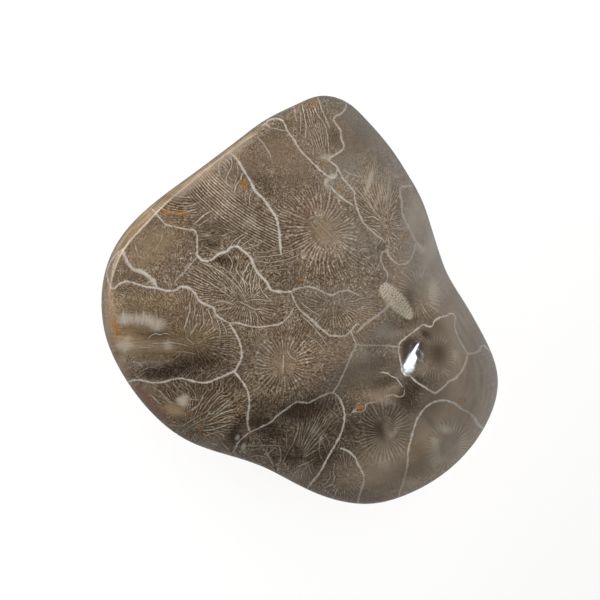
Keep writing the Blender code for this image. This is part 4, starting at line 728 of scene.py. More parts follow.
def spline(points, step=0.8):
    """Smooth open curve through the points, walked in small steps."""
    p = np.array(points, float)
    p0 = np.vstack([[2 * p[0] - p[1]], p[:-2]])
    p1, p2 = p[:-1], p[1:]
    p3 = np.vstack([p[2:], [2 * p[-1] - p[-2]]])
    out = []
    for a, b, c, d in zip(p0, p1, p2, p3):
        count = max(2, int(np.hypot(*(c - b)) / step))
        t = np.linspace(0, 1, count, endpoint=False)[:, None]
        out.append(
            0.5 * (2 * b + (c - a) * t + (2 * a - 5 * b + 4 * c - d) * t**2 + (3 * b - a - 3 * c + d) * t**3)
        )
    out.append(p[-1:])
    return np.vstack(out)


WALL_CURVES = [spline(points) for _, _, points in WALLS]
STRAND_CURVES = [spline(points) for _, _, points in STRANDS]


def cell_map():
    """Which cell every spot of the pattern plane belongs to: the seeds grow until they meet a wall or each other."""
    left, top, wide, high = 80, 80, 440, 440
    cost = np.ones((high, wide))
    for curve in WALL_CURVES:
        u = np.clip(np.round(curve[:, 0] - left).astype(int), 1, wide - 2)
        v = np.clip(np.round(curve[:, 1] - top).astype(int), 1, high - 2)
        for du, dv in ((0, 0), (1, 0), (0, 1)):
            cost[v + dv, u + du] = 60
    best = np.full((high, wide), 1e9)
    owner = np.full((high, wide), -1, int)
    names = sorted(STARS)
    queue = []
    for name, u, v, head_start in SEEDS:
        i, j = int(v - top), int(u - left)
        value = -float(head_start)
        if value < best[i, j]:
            best[i, j] = value
            owner[i, j] = names.index(name)
            heapq.heappush(queue, (value, i, j))
    steps = ((0, 1, 1.0), (1, 0, 1.0), (0, -1, 1.0), (-1, 0, 1.0), (1, 1, 1.414), (1, -1, 1.414), (-1, 1, 1.414), (-1, -1, 1.414))
    cost_rows = cost.tolist()
    best_rows = best.tolist()
    owner_rows = owner.tolist()
    while queue:
        value, i, j = heapq.heappop(queue)
        if value > best_rows[i][j]:
            continue
        for di, dj, length in steps:
            a, b = i + di, j + dj
            if 0 <= a < high and 0 <= b < wide:
                new = value + length * cost_rows[a][b]
                if new < best_rows[a][b]:
                    best_rows[a][b] = new
                    owner_rows[a][b] = owner_rows[i][j]
                    heapq.heappush(queue, (new, a, b))
    return np.array(owner_rows), names, left, top


def patch_field(name, u, v):
    """Sum of soft patches."""
    total = np.zeros_like(u)
    for cu, cv, ru, rv, turn, amount in PATCHES[name]:
        t = math.radians(turn)
        du, dv = u - cu, cv - v
        a = (du * math.cos(t) + dv * math.sin(t)) / ru
        b = (-du * math.sin(t) + dv * math.cos(t)) / rv
        total += amount * np.exp(-((a * a + b * b) ** 1.3) * 0.9)
    return total


def build_mesh():
    x, y, z, ring, angle = top_points()
    side = 2 * GRID + 1
    index = np.arange(side * side).reshape(side, side)
    points = [np.stack([x.ravel(), y.ravel(), z.ravel()], 1)]
    # the rim in order of angle
    i, j = np.meshgrid(np.arange(-GRID, GRID + 1), np.arange(-GRID, GRID + 1), indexing="ij")
    on_rim = ring.ravel() == GRID
    rim = index.ravel()[on_rim]
    rim = rim[np.argsort(angle.ravel()[on_rim] % (2 * math.pi))]
    rim_angle = np.sort(angle.ravel()[on_rim] % (2 * math.pi))
    loops = [rim]
    start = side * side
    turns = [0.0]
    for k in range(1, BELLY_RINGS + 1):
        turn = k / BELLY_RINGS
        bx, by, bz = belly_ring(rim_angle, turn)
        if k == BELLY_RINGS:
            bz = np.zeros_like(bz)
        points.append(np.stack([bx, by, bz], 1))
        loops.append(np.arange(start, start + len(rim)))
        start += len(rim)
        turns.append(turn)
    points.append(np.array([[SPOT_CENTRE[0], SPOT_CENTRE[1], 0.0]]))
    spot = start
    points = np.vstack(points)
    points *= (0.9997, 0.9997, 0.9998)   # a hair inside the solid

    a, b, c, d = index[:-1, :-1].ravel(), index[1:, :-1].ravel(), index[1:, 1:].ravel(), index[:-1, 1:].ravel()
    gi, gj = np.meshgrid(np.arange(-GRID, GRID), np.arange(-GRID, GRID), indexing="ij")
    gi, gj = gi.ravel(), gj.ravel()
    rising = (gi == gj)
    falling = (gi == -gj - 1)
    plain = ~(rising | falling)
    quads = [np.stack([a, b, c, d], 1)[plain]]
    tris = [
        np.stack([a, b, c], 1)[rising], np.stack([a, c, d], 1)[rising],
        np.stack([a, b, d], 1)[falling], np.stack([b, c, d], 1)[falling],
    ]
    for upper, lower in zip(loops, loops[1:]):
        quads.append(np.stack([upper, lower, np.roll(lower, -1), np.roll(upper, -1)], 1))
    last = loops[-1]
    tris.append(np.stack([np.full(len(last), spot), np.roll(last, -1), last], 1))
    quads = np.vstack(quads)
    tris = np.vstack(tris)

    # depth round the belly: 0 on the top and at the rim, 1 at the flat spot and inside it
    depth = np.zeros(len(points))
    for loop, turn in zip(loops[1:], turns[1:]):
        depth[loop] = turn
    depth[spot] = 1.0

    corners = np.concatenate([quads.ravel(), tris.ravel()])
    sizes = np.concatenate([np.full(len(quads), 4), np.full(len(tris), 3)])
    starts = np.concatenate([[0], np.cumsum(sizes)[:-1]])
    mesh = bpy.data.meshes.new("coral_skin")
    mesh.vertices.add(len(points))
    mesh.vertices.foreach_set("co", (points * MM).astype(np.float32).ravel())
    mesh.loops.add(len(corners))
    mesh.loops.foreach_set("vertex_index", corners.astype(np.int32))
    mesh.polygons.add(len(sizes))
    mesh.polygons.foreach_set("loop_start", starts.astype(np.int32))
    mesh.update(calc_edges=True)
    mesh.polygons.foreach_set("use_smooth", np.ones(len(sizes), bool))
    return mesh, points, depth, corners, sizes, starts, spot


def plane_places(points, depth):
    """Where each point of the skin reads the pattern plane. The belly reads it turned and shifted."""
    x, y, z = points.T
    u, v = plane_of(x, y, np.where(depth > 0, RIM, z))
    s = smooth(0.0, 1.0, depth)
    turn = 1.15 * s
    cu, cv = 298.5, 302.5
    du, dv = u - cu, v - cv
    grow = 1 + 0.06 * s
    u = cu + (du * np.cos(turn) - dv * np.sin(turn)) * grow + 9 * s
    v = cv + (du * np.sin(turn) + dv * np.cos(turn)) * grow - 7 * s
    return u, v


def star_fields(name, pu, pv, fu, fv, face_of):
    """Septa of one cell at the corners pu, pv of faces with the middles fu, fv."""
    star = STARS[name]
    (u0, v0), (u1, v1) = star["line"]
    cu, cv = (u0 + u1) / 2, (v0 + v1) / 2
    kind = star.get("kind", "star")
    if kind == "plain":
        t = math.radians(star["angle"])
        zero = np.zeros_like(pu)
        size = star.get("size", 2.1)
        across = (pu * math.sin(t) + pv * math.cos(t)) / size
        along = (pu * math.cos(t) - pv * math.sin(t)) / size
        return across, along, zero + size, zero, zero + star.get("stretch", 1.0), zero + star.get("wander", 0.2), zero
    if kind == "arcs":
        r = np.hypot(pu - cu, pv - cv)
        t = np.arctan2(cv - pv, pu - cu)
        spacing = np.full_like(r, star["spacing"])
        low, high = star.get("low", star["inner"]), star.get("high", 999)
        band = smooth(low - 5, low + 5, r) * (1 - smooth(high - 7, high + 7, r))
        mask = star["power"] * (0.22 + 0.78 * band)
        run = t * star.get("middle", 70) / star["spacing"]
        split = np.full_like(r, star["spacing"] / star.get("pitch", 2.8))
        return r / star["spacing"], run, spacing, mask, np.full_like(r, 2.0), np.full_like(r, star["wander"]), np.log2(np.maximum(split, 1.0))
    focus = complex(u1 - u0, -(v1 - v0)) / 2
    count = star["count"]

    def place(u, v):
        return ((u - cu) - 1j * (v - cv)) / focus

    zeta = place(pu, pv)
    middle = place(fu, fv)
    zeta = np.where(abs(zeta * zeta - 1) < 1e-4, zeta + 1e-2j, zeta)
    wave = np.arccosh(zeta)
    mid_wave = np.arccosh(np.where(abs(middle * middle - 1) < 1e-4, middle + 1e-2j, middle))
    nu = wave.imag
    mid = mid_wave.imag[face_of]
    nu = mid + (nu - mid + math.pi) % (2 * math.pi) - math.pi
    phase = nu * count / (2 * math.pi)
    root = np.sqrt(zeta * zeta - 1)
    spacing = 2 * math.pi * abs(focus) * abs(root) / count
    # distance from the centre line and direction from its middle
    length = 2 * abs(focus)
    unit = focus / abs(focus)
    local = ((pu - cu) - 1j * (pv - cv)) / unit
    along = np.clip(local.real, -length / 2, length / 2)
    r = abs(local - along)
    heading = np.degrees(np.angle((pu - cu) - 1j * (pv - cv))) % 360
    table = sorted(star["outer"])
    degrees = np.array([t[0] for t in table], float)
    values = np.array([t[1] for t in table], float)
    reach = np.interp(heading, np.concatenate([degrees - 360, degrees, degrees + 360]), np.tile(values, 3))
    soft = 6.0 if kind == "star" else 4.0
    inside = smooth(star["inner"] - 2.2, star["inner"] + 2.2, r)
    outside = smooth(reach - soft, reach + soft, r)
    mask = inside * (star["power"] * (1 - outside) + star["far"] * outside)
    wander = star["wander"] * (1 + 2.4 * outside)
    along = wave.real * count / (2 * math.pi)
    stretch = 1.0 + 0.9 * smooth(star["inner"] - 4, star["inner"] + 6, r)
    return phase, along, spacing, mask, stretch, wander, np.log2(np.maximum(spacing / star.get("pitch", 2.8), 1.0))


def nearest_lines(table, curves, wide, fu, fv, pu, pv, face_of):
    """The two nearest lines of every face, as distances that run straight through the line."""
    count = len(fu)
    total = len(pu)
    near = [np.full(count, 1e9), np.full(count, 1e9)]
    which = [np.full(count, -1), np.full(count, -1)]
    spots = [np.zeros(count, int), np.zeros(count, int)]
    for number, curve in enumerate(curves):
        low, high = curve.min(0) - wide, curve.max(0) + wide
        close = np.nonzero((fu > low[0]) & (fu < high[0]) & (fv > low[1]) & (fv < high[1]))[0]
        for part in np.array_split(close, max(1, len(close) // 20000 + 1)):
            if not len(part):
                continue
            gap = (fu[part, None] - curve[None, :, 0]) ** 2 + (fv[part, None] - curve[None, :, 1]) ** 2
            spot_index = gap.argmin(1)
            distance = np.sqrt(gap[np.arange(len(part)), spot_index])
            first = distance < near[0][part]
            moved = part[first]
            near[1][moved], which[1][moved], spots[1][moved] = near[0][moved], which[0][moved], spots[0][moved]
            near[0][moved], which[0][moved], spots[0][moved] = distance[first], number, spot_index[first]
            second = ~first & (distance < near[1][part])
            moved = part[second]
            near[1][moved], which[1][moved], spots[1][moved] = distance[second], number, spot_index[second]
    result = []
    for level in range(2):
        data = np.zeros((total, 3))
        data[:, 0] = 9
        data[:, 1] = 1
        for number, curve in enumerate(curves):
            faces = which[level] == number
            if not faces.any():
                continue
            chosen = faces[face_of]
            tangent = np.gradient(curve, axis=0)
            tangent /= np.hypot(tangent[:, 0], tangent[:, 1])[:, None]
            at = spots[level][face_of[chosen]]
            du, dv = pu[chosen] - curve[at, 0], pv[chosen] - curve[at, 1]
            across = du * -tangent[at, 1] + dv * tangent[at, 0]
            along = du * tangent[at, 0] + dv * tangent[at, 1]
            beyond = np.where(at == 0, -along, np.where(at == len(curve) - 1, along, 0))
            fade = 1 - smooth(0.3, 2.6, beyond)
            half, strength, _ = table[number]
            share = at / (len(curve) - 1)
            taper = 1 - 0.35 * smooth(0.85, 1.0, np.abs(2 * share - 1))
            data[chosen, 0] = np.clip(across, -9, 9)
            data[chosen, 1] = half * taper
            data[chosen, 2] = strength * fade
        result.append(data)
    return result


def edge_places(points, depth):
    """Distance outwards from the inner line of the rounded band, way round the stone, and how far the
    narrow upper left bevel shows there."""
    x, y, _ = points.T
    angle = np.arctan2(y - HUB[1], x - HUB[0]) % (2 * math.pi)
    width = edge(angle, 2)
    out = (np.hypot(x - HUB[0], y - HUB[1]) - (radius(angle) - width)) * 5.1
    out = np.where(depth > 0, width * 5.1 + depth * 60, out)
    degrees = np.degrees(angle)
    # the pale strip stays narrow where the rounded band itself grows wide
    out -= np.maximum(width * 5.1 - 11, 0) * smooth(163, 174, degrees) * (1 - smooth(216, 232, degrees))
    shown = smooth(94, 110, degrees) * (1 - smooth(163, 173, degrees)) + smooth(163, 173, degrees) * (0.75 - 0.2 * smooth(174, 182, degrees)) * (1 - smooth(200, 212, degrees))
    return np.stack([np.clip(out, -30, 90), degrees * 3.5, shown], 1)


def lay_out(points, depth, corners, sizes, starts, spot):
    """All pattern fields at the corners of the faces."""
    u, v = plane_places(points, depth)
    face_of = np.repeat(np.arange(len(sizes)), sizes)
    pu, pv = u[corners], v[corners]
    fu = np.add.reduceat(pu, starts) / sizes
    fv = np.add.reduceat(pv, starts) / sizes

    owner, names, left, top = cell_map()
    high, wide = owner.shape
    label = owner[
        np.clip(np.round(fv - top).astype(int), 0, high - 1), np.clip(np.round(fu - left).astype(int), 0, wide - 1)
    ]
    total = len(corners)
    phase, run, spacing, mask = np.zeros(total), np.zeros(total), np.full(total, 3.0), np.zeros(total)
    stretch, wander, split = np.ones(total), np.zeros(total), np.zeros(total)
    for number, name in enumerate(names):
        faces = label == number
        if not faces.any():
            continue
        chosen = faces[face_of]
        order = np.cumsum(faces) - 1
        result = star_fields(name, pu[chosen], pv[chosen], fu[faces], fv[faces], order[face_of[chosen]])
        for target, value in zip((phase, run, spacing, mask, stretch, wander, split), result):
            target[chosen] = value

    walls = nearest_lines(WALLS, WALL_CURVES, 9, fu, fv, pu, pv, face_of)
    strands = nearest_lines(STRANDS, STRAND_CURVES, 6, fu, fv, pu, pv, face_of)
    return u, v, phase, run, spacing, mask, stretch, wander, split, walls, strands


def unwrap_layout(points, depth, corners, sizes, starts):
    """Texture layout: the top seen from above, large, and the belly seen from below, smaller, beside it."""
    x, y, z = points.T
    under = depth[corners] > 0
    face_of = np.repeat(np.arange(len(sizes)), sizes)
    belly = np.maximum.reduceat(under.astype(int), starts)[face_of] > 0
    # the steep band is opened outwards so that it has room of its own
    radial = np.hypot(x - HUB[0], y - HUB[1])
    angle = np.arctan2(y - HUB[1], x - HUB[0])
    full = radius(angle)
    drop = np.clip(top_height(x, y) - z, 0, None)
    reach = radial + 0.30 * drop
    top_u = HUB[0] + reach * np.cos(angle)
    top_v = HUB[1] + reach * np.sin(angle)
    rise = np.where(depth > 0, z, np.maximum(z, 0))
    belly_reach = radial + 0.25 * rise
    belly_u = -(HUB[0] + belly_reach * np.cos(angle))
    belly_v = HUB[1] + belly_reach * np.sin(angle)
    out = np.zeros((len(corners), 2))
    scale_top = 0.655 / (2 * 46.0)
    out[:, 0] = 0.335 + top_u[corners] * scale_top
    out[:, 1] = 0.345 + top_v[corners] * scale_top
    scale_belly = 0.32 / (2 * 45.0)
    out[belly, 0] = 0.835 + belly_u[corners][belly] * scale_belly
    out[belly, 1] = 0.835 + belly_v[corners][belly] * scale_belly
    return out


def add_corner(mesh, name, values):
    layer = mesh.attributes.new(name, "FLOAT_VECTOR", "CORNER")
    layer.data.foreach_set("vector", np.ascontiguousarray(values, np.float32).ravel())


def add_point(mesh, name, values):
    layer = mesh.attributes.new(name, "FLOAT_VECTOR", "POINT")
    layer.data.foreach_set("vector", np.ascontiguousarray(values, np.float32).ravel())


def make_stone():
    mesh, points, depth, corners, sizes, starts, spot = build_mesh()
    u, v, phase, run, spacing, mask, stretch, wander, split, walls, strands = lay_out(points, depth, corners, sizes, starts, spot)
    add_corner(mesh, "septa", np.stack([phase, run, np.log2(np.maximum(spacing, 0.2) / 1.85)], 1))
    add_corner(mesh, "comb", np.stack([mask, stretch, wander], 1))
    add_corner(mesh, "fan", np.stack([split, split, split], 1))
    add_corner(mesh, "wall_one", walls[0])
    add_corner(mesh, "wall_two", walls[1])
    add_corner(mesh, "strand_one", strands[0])
    add_corner(mesh, "strand_two", strands[1])
    add_point(mesh, "bevel", edge_places(points, depth))
    add_point(mesh, "plane", np.stack([u, v, points[:, 2] * 5], 1))
    fields = {name: patch_field(name, u, v) for name in PATCHES}
    add_point(mesh, "tint_one", np.stack([fields["ochre"], fields["pink"], fields["white"]], 1))
    add_point(mesh, "tint_two", np.stack([fields["dark_and_shade"], fields["olive"], fields["honey"]], 1))
    add_point(mesh, "tint_three", np.stack([fields["grey_and_veil"], fields["calm"], fields["light"]], 1))
    add_point(mesh, "tint_four", np.stack([fields["warm"], fields["band"], fields["rim"]], 1))
    add_point(mesh, "tint_five", np.stack([fields["maroon"], fields["tan"], fields["bold"]], 1))
    add_point(mesh, "tint_six", np.stack([fields["matte"], fields["matte"], fields["matte"]], 1))
    layer = mesh.uv_layers.new(name="OFBake")
    layout = unwrap_layout(points, depth, corners, sizes, starts)
    layer.data.foreach_set("uv", layout.astype(np.float32).ravel())
    mesh.validate(clean_customdata=False)
    stone = bpy.data.objects.new("coral_skin", mesh)
    bpy.context.scene.collection.objects.link(stone)
    return stone


# ---------------------------------------------------------------------------------------------
# Material
# ---------------------------------------------------------------------------------------------


def linear(r, g, b):
    def one(c):
        c /= 255
        return c / 12.92 if c <= 0.04045 else ((c + 0.055) / 1.055) ** 2.4

    return (one(r), one(g), one(b), 1.0)


class Nodes:
    """Small helper that adds nodes to one tree and wires them."""

    def __init__(self, tree):
        self.tree = tree

    def add(self, kind, **settings):
        node = self.tree.nodes.new(kind)
        for key, value in settings.items():
            setattr(node, key, value)
        return node

    def put(self, socket, value):
        if isinstance(value, bpy.types.NodeSocket):
            self.tree.links.new(value, socket)
        elif value is not None:
            socket.default_value = value

    def math(self, operation, a, b=None, c=None, clamp=False):
        node = self.add("ShaderNodeMath", operation=operation, use_clamp=clamp)
        self.put(node.inputs[0], a)
        if b is not None:
            self.put(node.inputs[1], b)
        if c is not None:
            self.put(node.inputs[2], c)
        return node.outputs[0]

    def step(self, value, low, high, to_low=0.0, to_high=1.0):
        node = self.add("ShaderNodeMapRange", interpolation_type="SMOOTHSTEP")
        self.put(node.inputs["Value"], value)
        self.put(node.inputs["From Min"], low)
        self.put(node.inputs["From Max"], high)
        self.put(node.inputs["To Min"], to_low)
        self.put(node.inputs["To Max"], to_high)
        return node.outputs["Result"]

    def mix(self, factor, a, b, blend="MIX"):
        node = self.add("ShaderNodeMix", data_type="RGBA", blend_type=blend, clamp_factor=True)
        self.put(node.inputs["Factor"], factor)
        self.put(node.inputs[6], a)
        self.put(node.inputs[7], b)
        return node.outputs[2]

    def blend(self, factor, a, b):
        node = self.add("ShaderNodeMix", data_type="FLOAT", clamp_factor=True)
        self.put(node.inputs["Factor"], factor)
        self.put(node.inputs[2], a)
        self.put(node.inputs[3], b)
        return node.outputs[0]

    def parts(self, vector):
        node = self.add("ShaderNodeSeparateXYZ")
        self.put(node.inputs[0], vector)
        return node.outputs

    def join(self, x, y, z=0.0):
        node = self.add("ShaderNodeCombineXYZ")
        self.put(node.inputs[0], x)
        self.put(node.inputs[1], y)
        self.put(node.inputs[2], z)
        return node.outputs[0]

    def attribute(self, name):
        return self.add("ShaderNodeAttribute", attribute_type="GEOMETRY", attribute_name=name).outputs["Vector"]

    def noise(self, vector, scale, detail=2.0, rough=0.5, dims="3D", distortion=0.0, **settings):
        node = self.add("ShaderNodeTexNoise", noise_dimensions=dims, **settings)
        self.put(node.inputs["Vector"], vector)
        self.put(node.inputs["Scale"], scale)
        self.put(node.inputs["Detail"], detail)
        self.put(node.inputs["Roughness"], rough)
        self.put(node.inputs["Distortion"], distortion)
        return node.outputs[0]


def coral_material():
    material = bpy.data.materials.new("polished_coral_look")
    material.use_nodes = True
    tree = material.node_tree
    tree.nodes.clear()
    n = Nodes(tree)

    plane = n.attribute("plane")
    pu, pv, pz = n.parts(plane)
    flat = n.join(pu, pv, 0.0)
    solid = n.join(pu, pv, pz)
    phase, run, level = n.parts(n.attribute("septa"))
    star_mask, stretch, wander = n.parts(n.attribute("comb"))
    ochre, pink, white = n.parts(n.attribute("tint_one"))
    dark_and_shade, olive, honey = n.parts(n.attribute("tint_two"))
    grey_and_veil, calm, light = n.parts(n.attribute("tint_three"))
    warm, band, rim = n.parts(n.attribute("tint_four"))
    maroon, tan, bold = n.parts(n.attribute("tint_five"))
    matte, _, _ = n.parts(n.attribute("tint_six"))
    split, _, _ = n.parts(n.attribute("fan"))

    # shared soft variations
    drift = n.noise(solid, 0.045, 3.0, 0.55)
    speck = n.noise(solid, 0.55, 2.0, 0.6)
    fine = n.noise(solid, 0.9, 3.0, 0.65)
    sway = n.noise(solid, 0.075, 2.0, 0.5)
    sway_two = n.noise(n.join(pv, pu, 40.0), 0.075, 2.0, 0.5)
    wobble = n.noise(solid, 0.30, 2.0, 0.55)
    wobble_two = n.noise(n.join(pv, pu, 90.0), 0.30, 2.0, 0.55)

    # the septa and the fine net between them share one pair of coordinates per cell; both split in two
    # wherever they would spread too far apart
    floor_level = n.math("FLOOR", level)
    part = n.math("SUBTRACT", level, floor_level)
    choose = n.step(part, 0.30, 0.70)
    free = n.math("SUBTRACT", 1.0, n.math("MULTIPLY", n.math("MINIMUM", star_mask, 1.0), 0.8))
    shift_x = n.math("ADD", n.math("MULTIPLY", n.math("SUBTRACT", wobble, 0.5), 1.1),
                     n.math("MULTIPLY", n.math("MULTIPLY", n.math("SUBTRACT", sway, 0.5), 5.0), free))
    shift_y = n.math("ADD", n.math("MULTIPLY", n.math("SUBTRACT", wobble_two, 0.5), 1.1),
                     n.math("MULTIPLY", n.math("MULTIPLY", n.math("SUBTRACT", sway_two, 0.5), 5.0), free))
    slow = n.noise(solid, 0.07, 1.0, 0.4)
    rough_phase = n.math("MULTIPLY", n.math("SUBTRACT", slow, 0.5), n.math("MULTIPLY", wander, 11.0))
    tiny = n.math("MULTIPLY", n.math("SUBTRACT", wobble, 0.5), n.math("MULTIPLY", wander, 1.6))
    rough_phase = n.math("ADD", rough_phase, tiny)

    def octave(extra):
        power = n.math("POWER", 2.0, n.math("ADD", floor_level, extra))
        turned = n.math("MULTIPLY", phase, power)
        passed = n.math("MULTIPLY", run, power)
        cells = n.add("ShaderNodeTexVoronoi", voronoi_dimensions="2D", feature="DISTANCE_TO_EDGE")
        across = n.math("ADD", turned, n.math("MULTIPLY", shift_x, 0.8))
        along = n.math("DIVIDE", n.math("ADD", passed, shift_y), stretch)
        n.put(cells.inputs["Vector"], n.join(across, along, 0.0))
        n.put(cells.inputs["Scale"], 1.0)
        n.put(cells.inputs["Randomness"], 0.9)
        grain = n.noise(n.join(n.math("MULTIPLY", across, 1.25), n.math("MULTIPLY", along, 1.05), 3.0), 1.0, 2.0, 0.65)
        net = n.step(cells.outputs["Distance"], 0.26, 0.02)
        net = n.math("MULTIPLY_ADD", n.step(grain, 0.36, 0.64), 0.62, n.math("MULTIPLY", net, 0.45))
        return net

    def septa(extra):
        moved = n.math("ADD", n.math("MULTIPLY", phase, n.math("POWER", 2.0, n.math("ADD", fan_floor, extra))), rough_phase)
        ridge = n.math("ABSOLUTE", n.math("MULTIPLY_ADD", n.math("FRACT", moved), 2.0, -1.0))
        number = n.math("FLOOR", n.math("ADD", moved, 0.5))
        own = n.add("ShaderNodeTexWhiteNoise", noise_dimensions="1D")
        n.put(own.inputs["W"], number)
        strength = n.math("MULTIPLY_ADD", own.outputs["Value"], 0.55, 0.62)
        return n.math("MULTIPLY", n.step(ridge, 0.28, 0.92), strength)

    fan_floor = n.math("FLOOR", split)
    fan_choose = n.step(n.math("SUBTRACT", split, fan_floor), 0.35, 0.75)
    net = n.blend(choose, octave(0.0), octave(1.0))
    spokes = n.blend(fan_choose, septa(0.0), septa(1.0))
    patchy = n.step(n.noise(solid, 0.11, 3.0, 0.6), 0.30, 0.68, 0.62, 1.12)
    net = n.math("MULTIPLY", n.math("MULTIPLY", net, patchy), n.step(wobble_two, 0.30, 0.60, 0.55, 1.0))
    broken = n.step(wobble_two, 0.28, 0.58, 0.55, 1.05)
    spokes = n.math("MULTIPLY", spokes, n.math("MULTIPLY_ADD", broken, 0.6, 0.4))
    mask = n.math("MINIMUM", star_mask, 1.0)
    pattern = n.blend(mask, net, spokes)
    def strand(name):
        across, half, strength = n.parts(n.attribute(name))
        waver = n.math("MULTIPLY", n.math("SUBTRACT", wobble, 0.5), 2.0)
        share = n.math("DIVIDE", n.math("ABSOLUTE", n.math("ADD", across, waver)), half)
        worn = n.math("MULTIPLY", strength, n.step(n.noise(solid, 0.25, 2.0, 0.5), 0.30, 0.62, 0.55, 1.25))
        core = n.math("MINIMUM", n.math("MULTIPLY", n.step(share, 1.35, 0.25), n.math("MULTIPLY", worn, 1.25)), 1.0)
        gap = n.math("MULTIPLY", n.step(share, 3.6, 1.3), strength)
        return core, gap

    strand_one, gap_one = strand("strand_one")
    strand_two, gap_two = strand("strand_two")
    strands = n.math("MAXIMUM", strand_one, strand_two)
    gaps = n.math("MAXIMUM", gap_one, gap_two)
    bevel_out, bevel_way, bevel_shown = n.parts(n.attribute("bevel"))
    on_bevel = n.math("MULTIPLY", n.step(bevel_out, -0.8, 1.2), n.math("MULTIPLY", bevel_shown, n.step(bevel_out, 30.0, 14.0)))
    calm = n.math("MINIMUM", calm, 0.95)
    ground_gain = n.math("MULTIPLY", n.math("MULTIPLY_ADD", calm, -0.92, 0.92), n.math("SUBTRACT", 1.0, mask))
    ground_gain = n.math("MULTIPLY", ground_gain, n.math("MULTIPLY_ADD", n.math("MINIMUM", bold, 1.0), 0.6, 1.0))
    spoke_gain = n.math("MULTIPLY", n.math("MULTIPLY_ADD", calm, -0.60, 1.60), mask)
    signal = n.math("ADD", n.math("MULTIPLY", n.math("SUBTRACT", net, 0.42), ground_gain), n.math("MULTIPLY", n.math("SUBTRACT", spokes, 0.38), spoke_gain))
    quiet = n.math("MULTIPLY", n.math("MULTIPLY_ADD", gaps, -0.8, 1.0), n.math("MULTIPLY_ADD", on_bevel, -0.40, 1.0))
    signal = n.math("MULTIPLY_ADD", signal, quiet, 0.39)
    signal = n.math("ADD", signal, n.math("MULTIPLY", n.math("SUBTRACT", fine, 0.5), n.math("MULTIPLY_ADD", calm, -0.22, 0.42)))

    ramp = n.add("ShaderNodeValToRGB")
    n.put(ramp.inputs[0], signal)
    ramp.color_ramp.elements[0].position = 0.0
    ramp.color_ramp.elements[0].color = linear(48, 35, 23)
    ramp.color_ramp.elements[1].position = 1.0
    ramp.color_ramp.elements[1].color = linear(188, 180, 169)
    for place, tone in ((0.18, (78, 62, 46)), (0.42, (115, 100, 83)), (0.70, (146, 134, 120))):
        element = ramp.color_ramp.elements.new(place)
        element.color = linear(*tone)
    colour = ramp.outputs[0]

    # long soft streaks: level ones in the left lobe, and painted reflection streaks that follow the rim
    bent = n.math("ADD", pv, n.math("MULTIPLY", n.math("SUBTRACT", sway, 0.5), 7.0))
    banding = n.noise(n.join(n.math("MULTIPLY", pu, 0.022), n.math("MULTIPLY", bent, 0.26), 5.0), 1.0, 5.0, 0.72)
    banding = n.step(banding, 0.36, 0.64)
    colour = n.mix(n.math("MULTIPLY", n.math("MINIMUM", band, 1.0), 0.72), colour, n.mix(banding, linear(82, 62, 38), linear(148, 131, 103)))
    # painted reflection streaks along the rim
    rim_sheen_streaks = n.noise(n.join(n.math("MULTIPLY", bevel_way, 0.03), n.math("MULTIPLY", bevel_out, 0.20), 11.0), 1.0, 4.0, 0.6)
    rim_sheen_streaks = n.step(rim_sheen_streaks, 0.34, 0.66)
    colour = n.mix(n.math("MULTIPLY", n.math("MINIMUM", rim, 1.0), 0.65), colour, n.mix(rim_sheen_streaks, linear(98, 85, 70), linear(136, 126, 112)))

    # slow changes of tone
    colour = n.mix(n.math("MULTIPLY", n.step(drift, 0.35, 0.70), 0.28), colour, linear(103, 91, 78), "MIX")
    ragged = n.math("MULTIPLY_ADD", n.math("SUBTRACT", n.noise(solid, 0.22, 3.0, 0.6), 0.5), 0.9, 0.0)
    # greyer stone and painted reflection veil
    colour = n.mix(n.math("MULTIPLY", n.math("MINIMUM", grey_and_veil, 1.0), 0.50), colour, linear(124, 119, 113))
    colour = n.mix(n.math("MULTIPLY", n.math("MINIMUM", warm, 1.0), 0.75), colour, (1.08, 0.99, 0.84, 1.0), "MULTIPLY")
    colour = n.mix(n.math("MULTIPLY", n.math("MINIMUM", olive, 1.0), 0.45), colour, linear(112, 98, 68))
    colour = n.mix(n.math("MINIMUM", n.math("MULTIPLY", gaps, 1.05), 0.85), colour, linear(72, 57, 42))
    # painted sheen and paler stone: lightens the colour where the lighter patches lie
    colour = n.mix(n.math("MINIMUM", light, 1.0), colour, (1.53, 1.50, 1.49, 1.0), "MULTIPLY")
    streak = n.noise(n.join(n.math("MULTIPLY", bevel_way, 0.05), bevel_out, 0.0), 0.55, 3.0, 0.6)
    strip = n.mix(n.step(streak, 0.35, 0.68), linear(106, 87, 66), linear(168, 146, 120))
    strip_share = n.math("MULTIPLY_ADD", n.step(bevel_way, 560.0, 600.0), -0.28, 0.60)
    colour = n.mix(n.math("MULTIPLY", on_bevel, strip_share), colour, strip)
    colour = n.mix(strands, colour, n.mix(speck, linear(166, 156, 141), linear(208, 202, 191)))
    # painted shade and dark matrix: darkens the colour where the darker patches lie
    colour = n.mix(n.math("MINIMUM", n.math("MULTIPLY", dark_and_shade, 0.86), 1.0), colour, (0.26, 0.225, 0.195, 1.0), "MULTIPLY")
    ragged_small = n.math("MULTIPLY", n.math("SUBTRACT", n.noise(solid, 0.42, 3.0, 0.65), 0.5), 1.6)
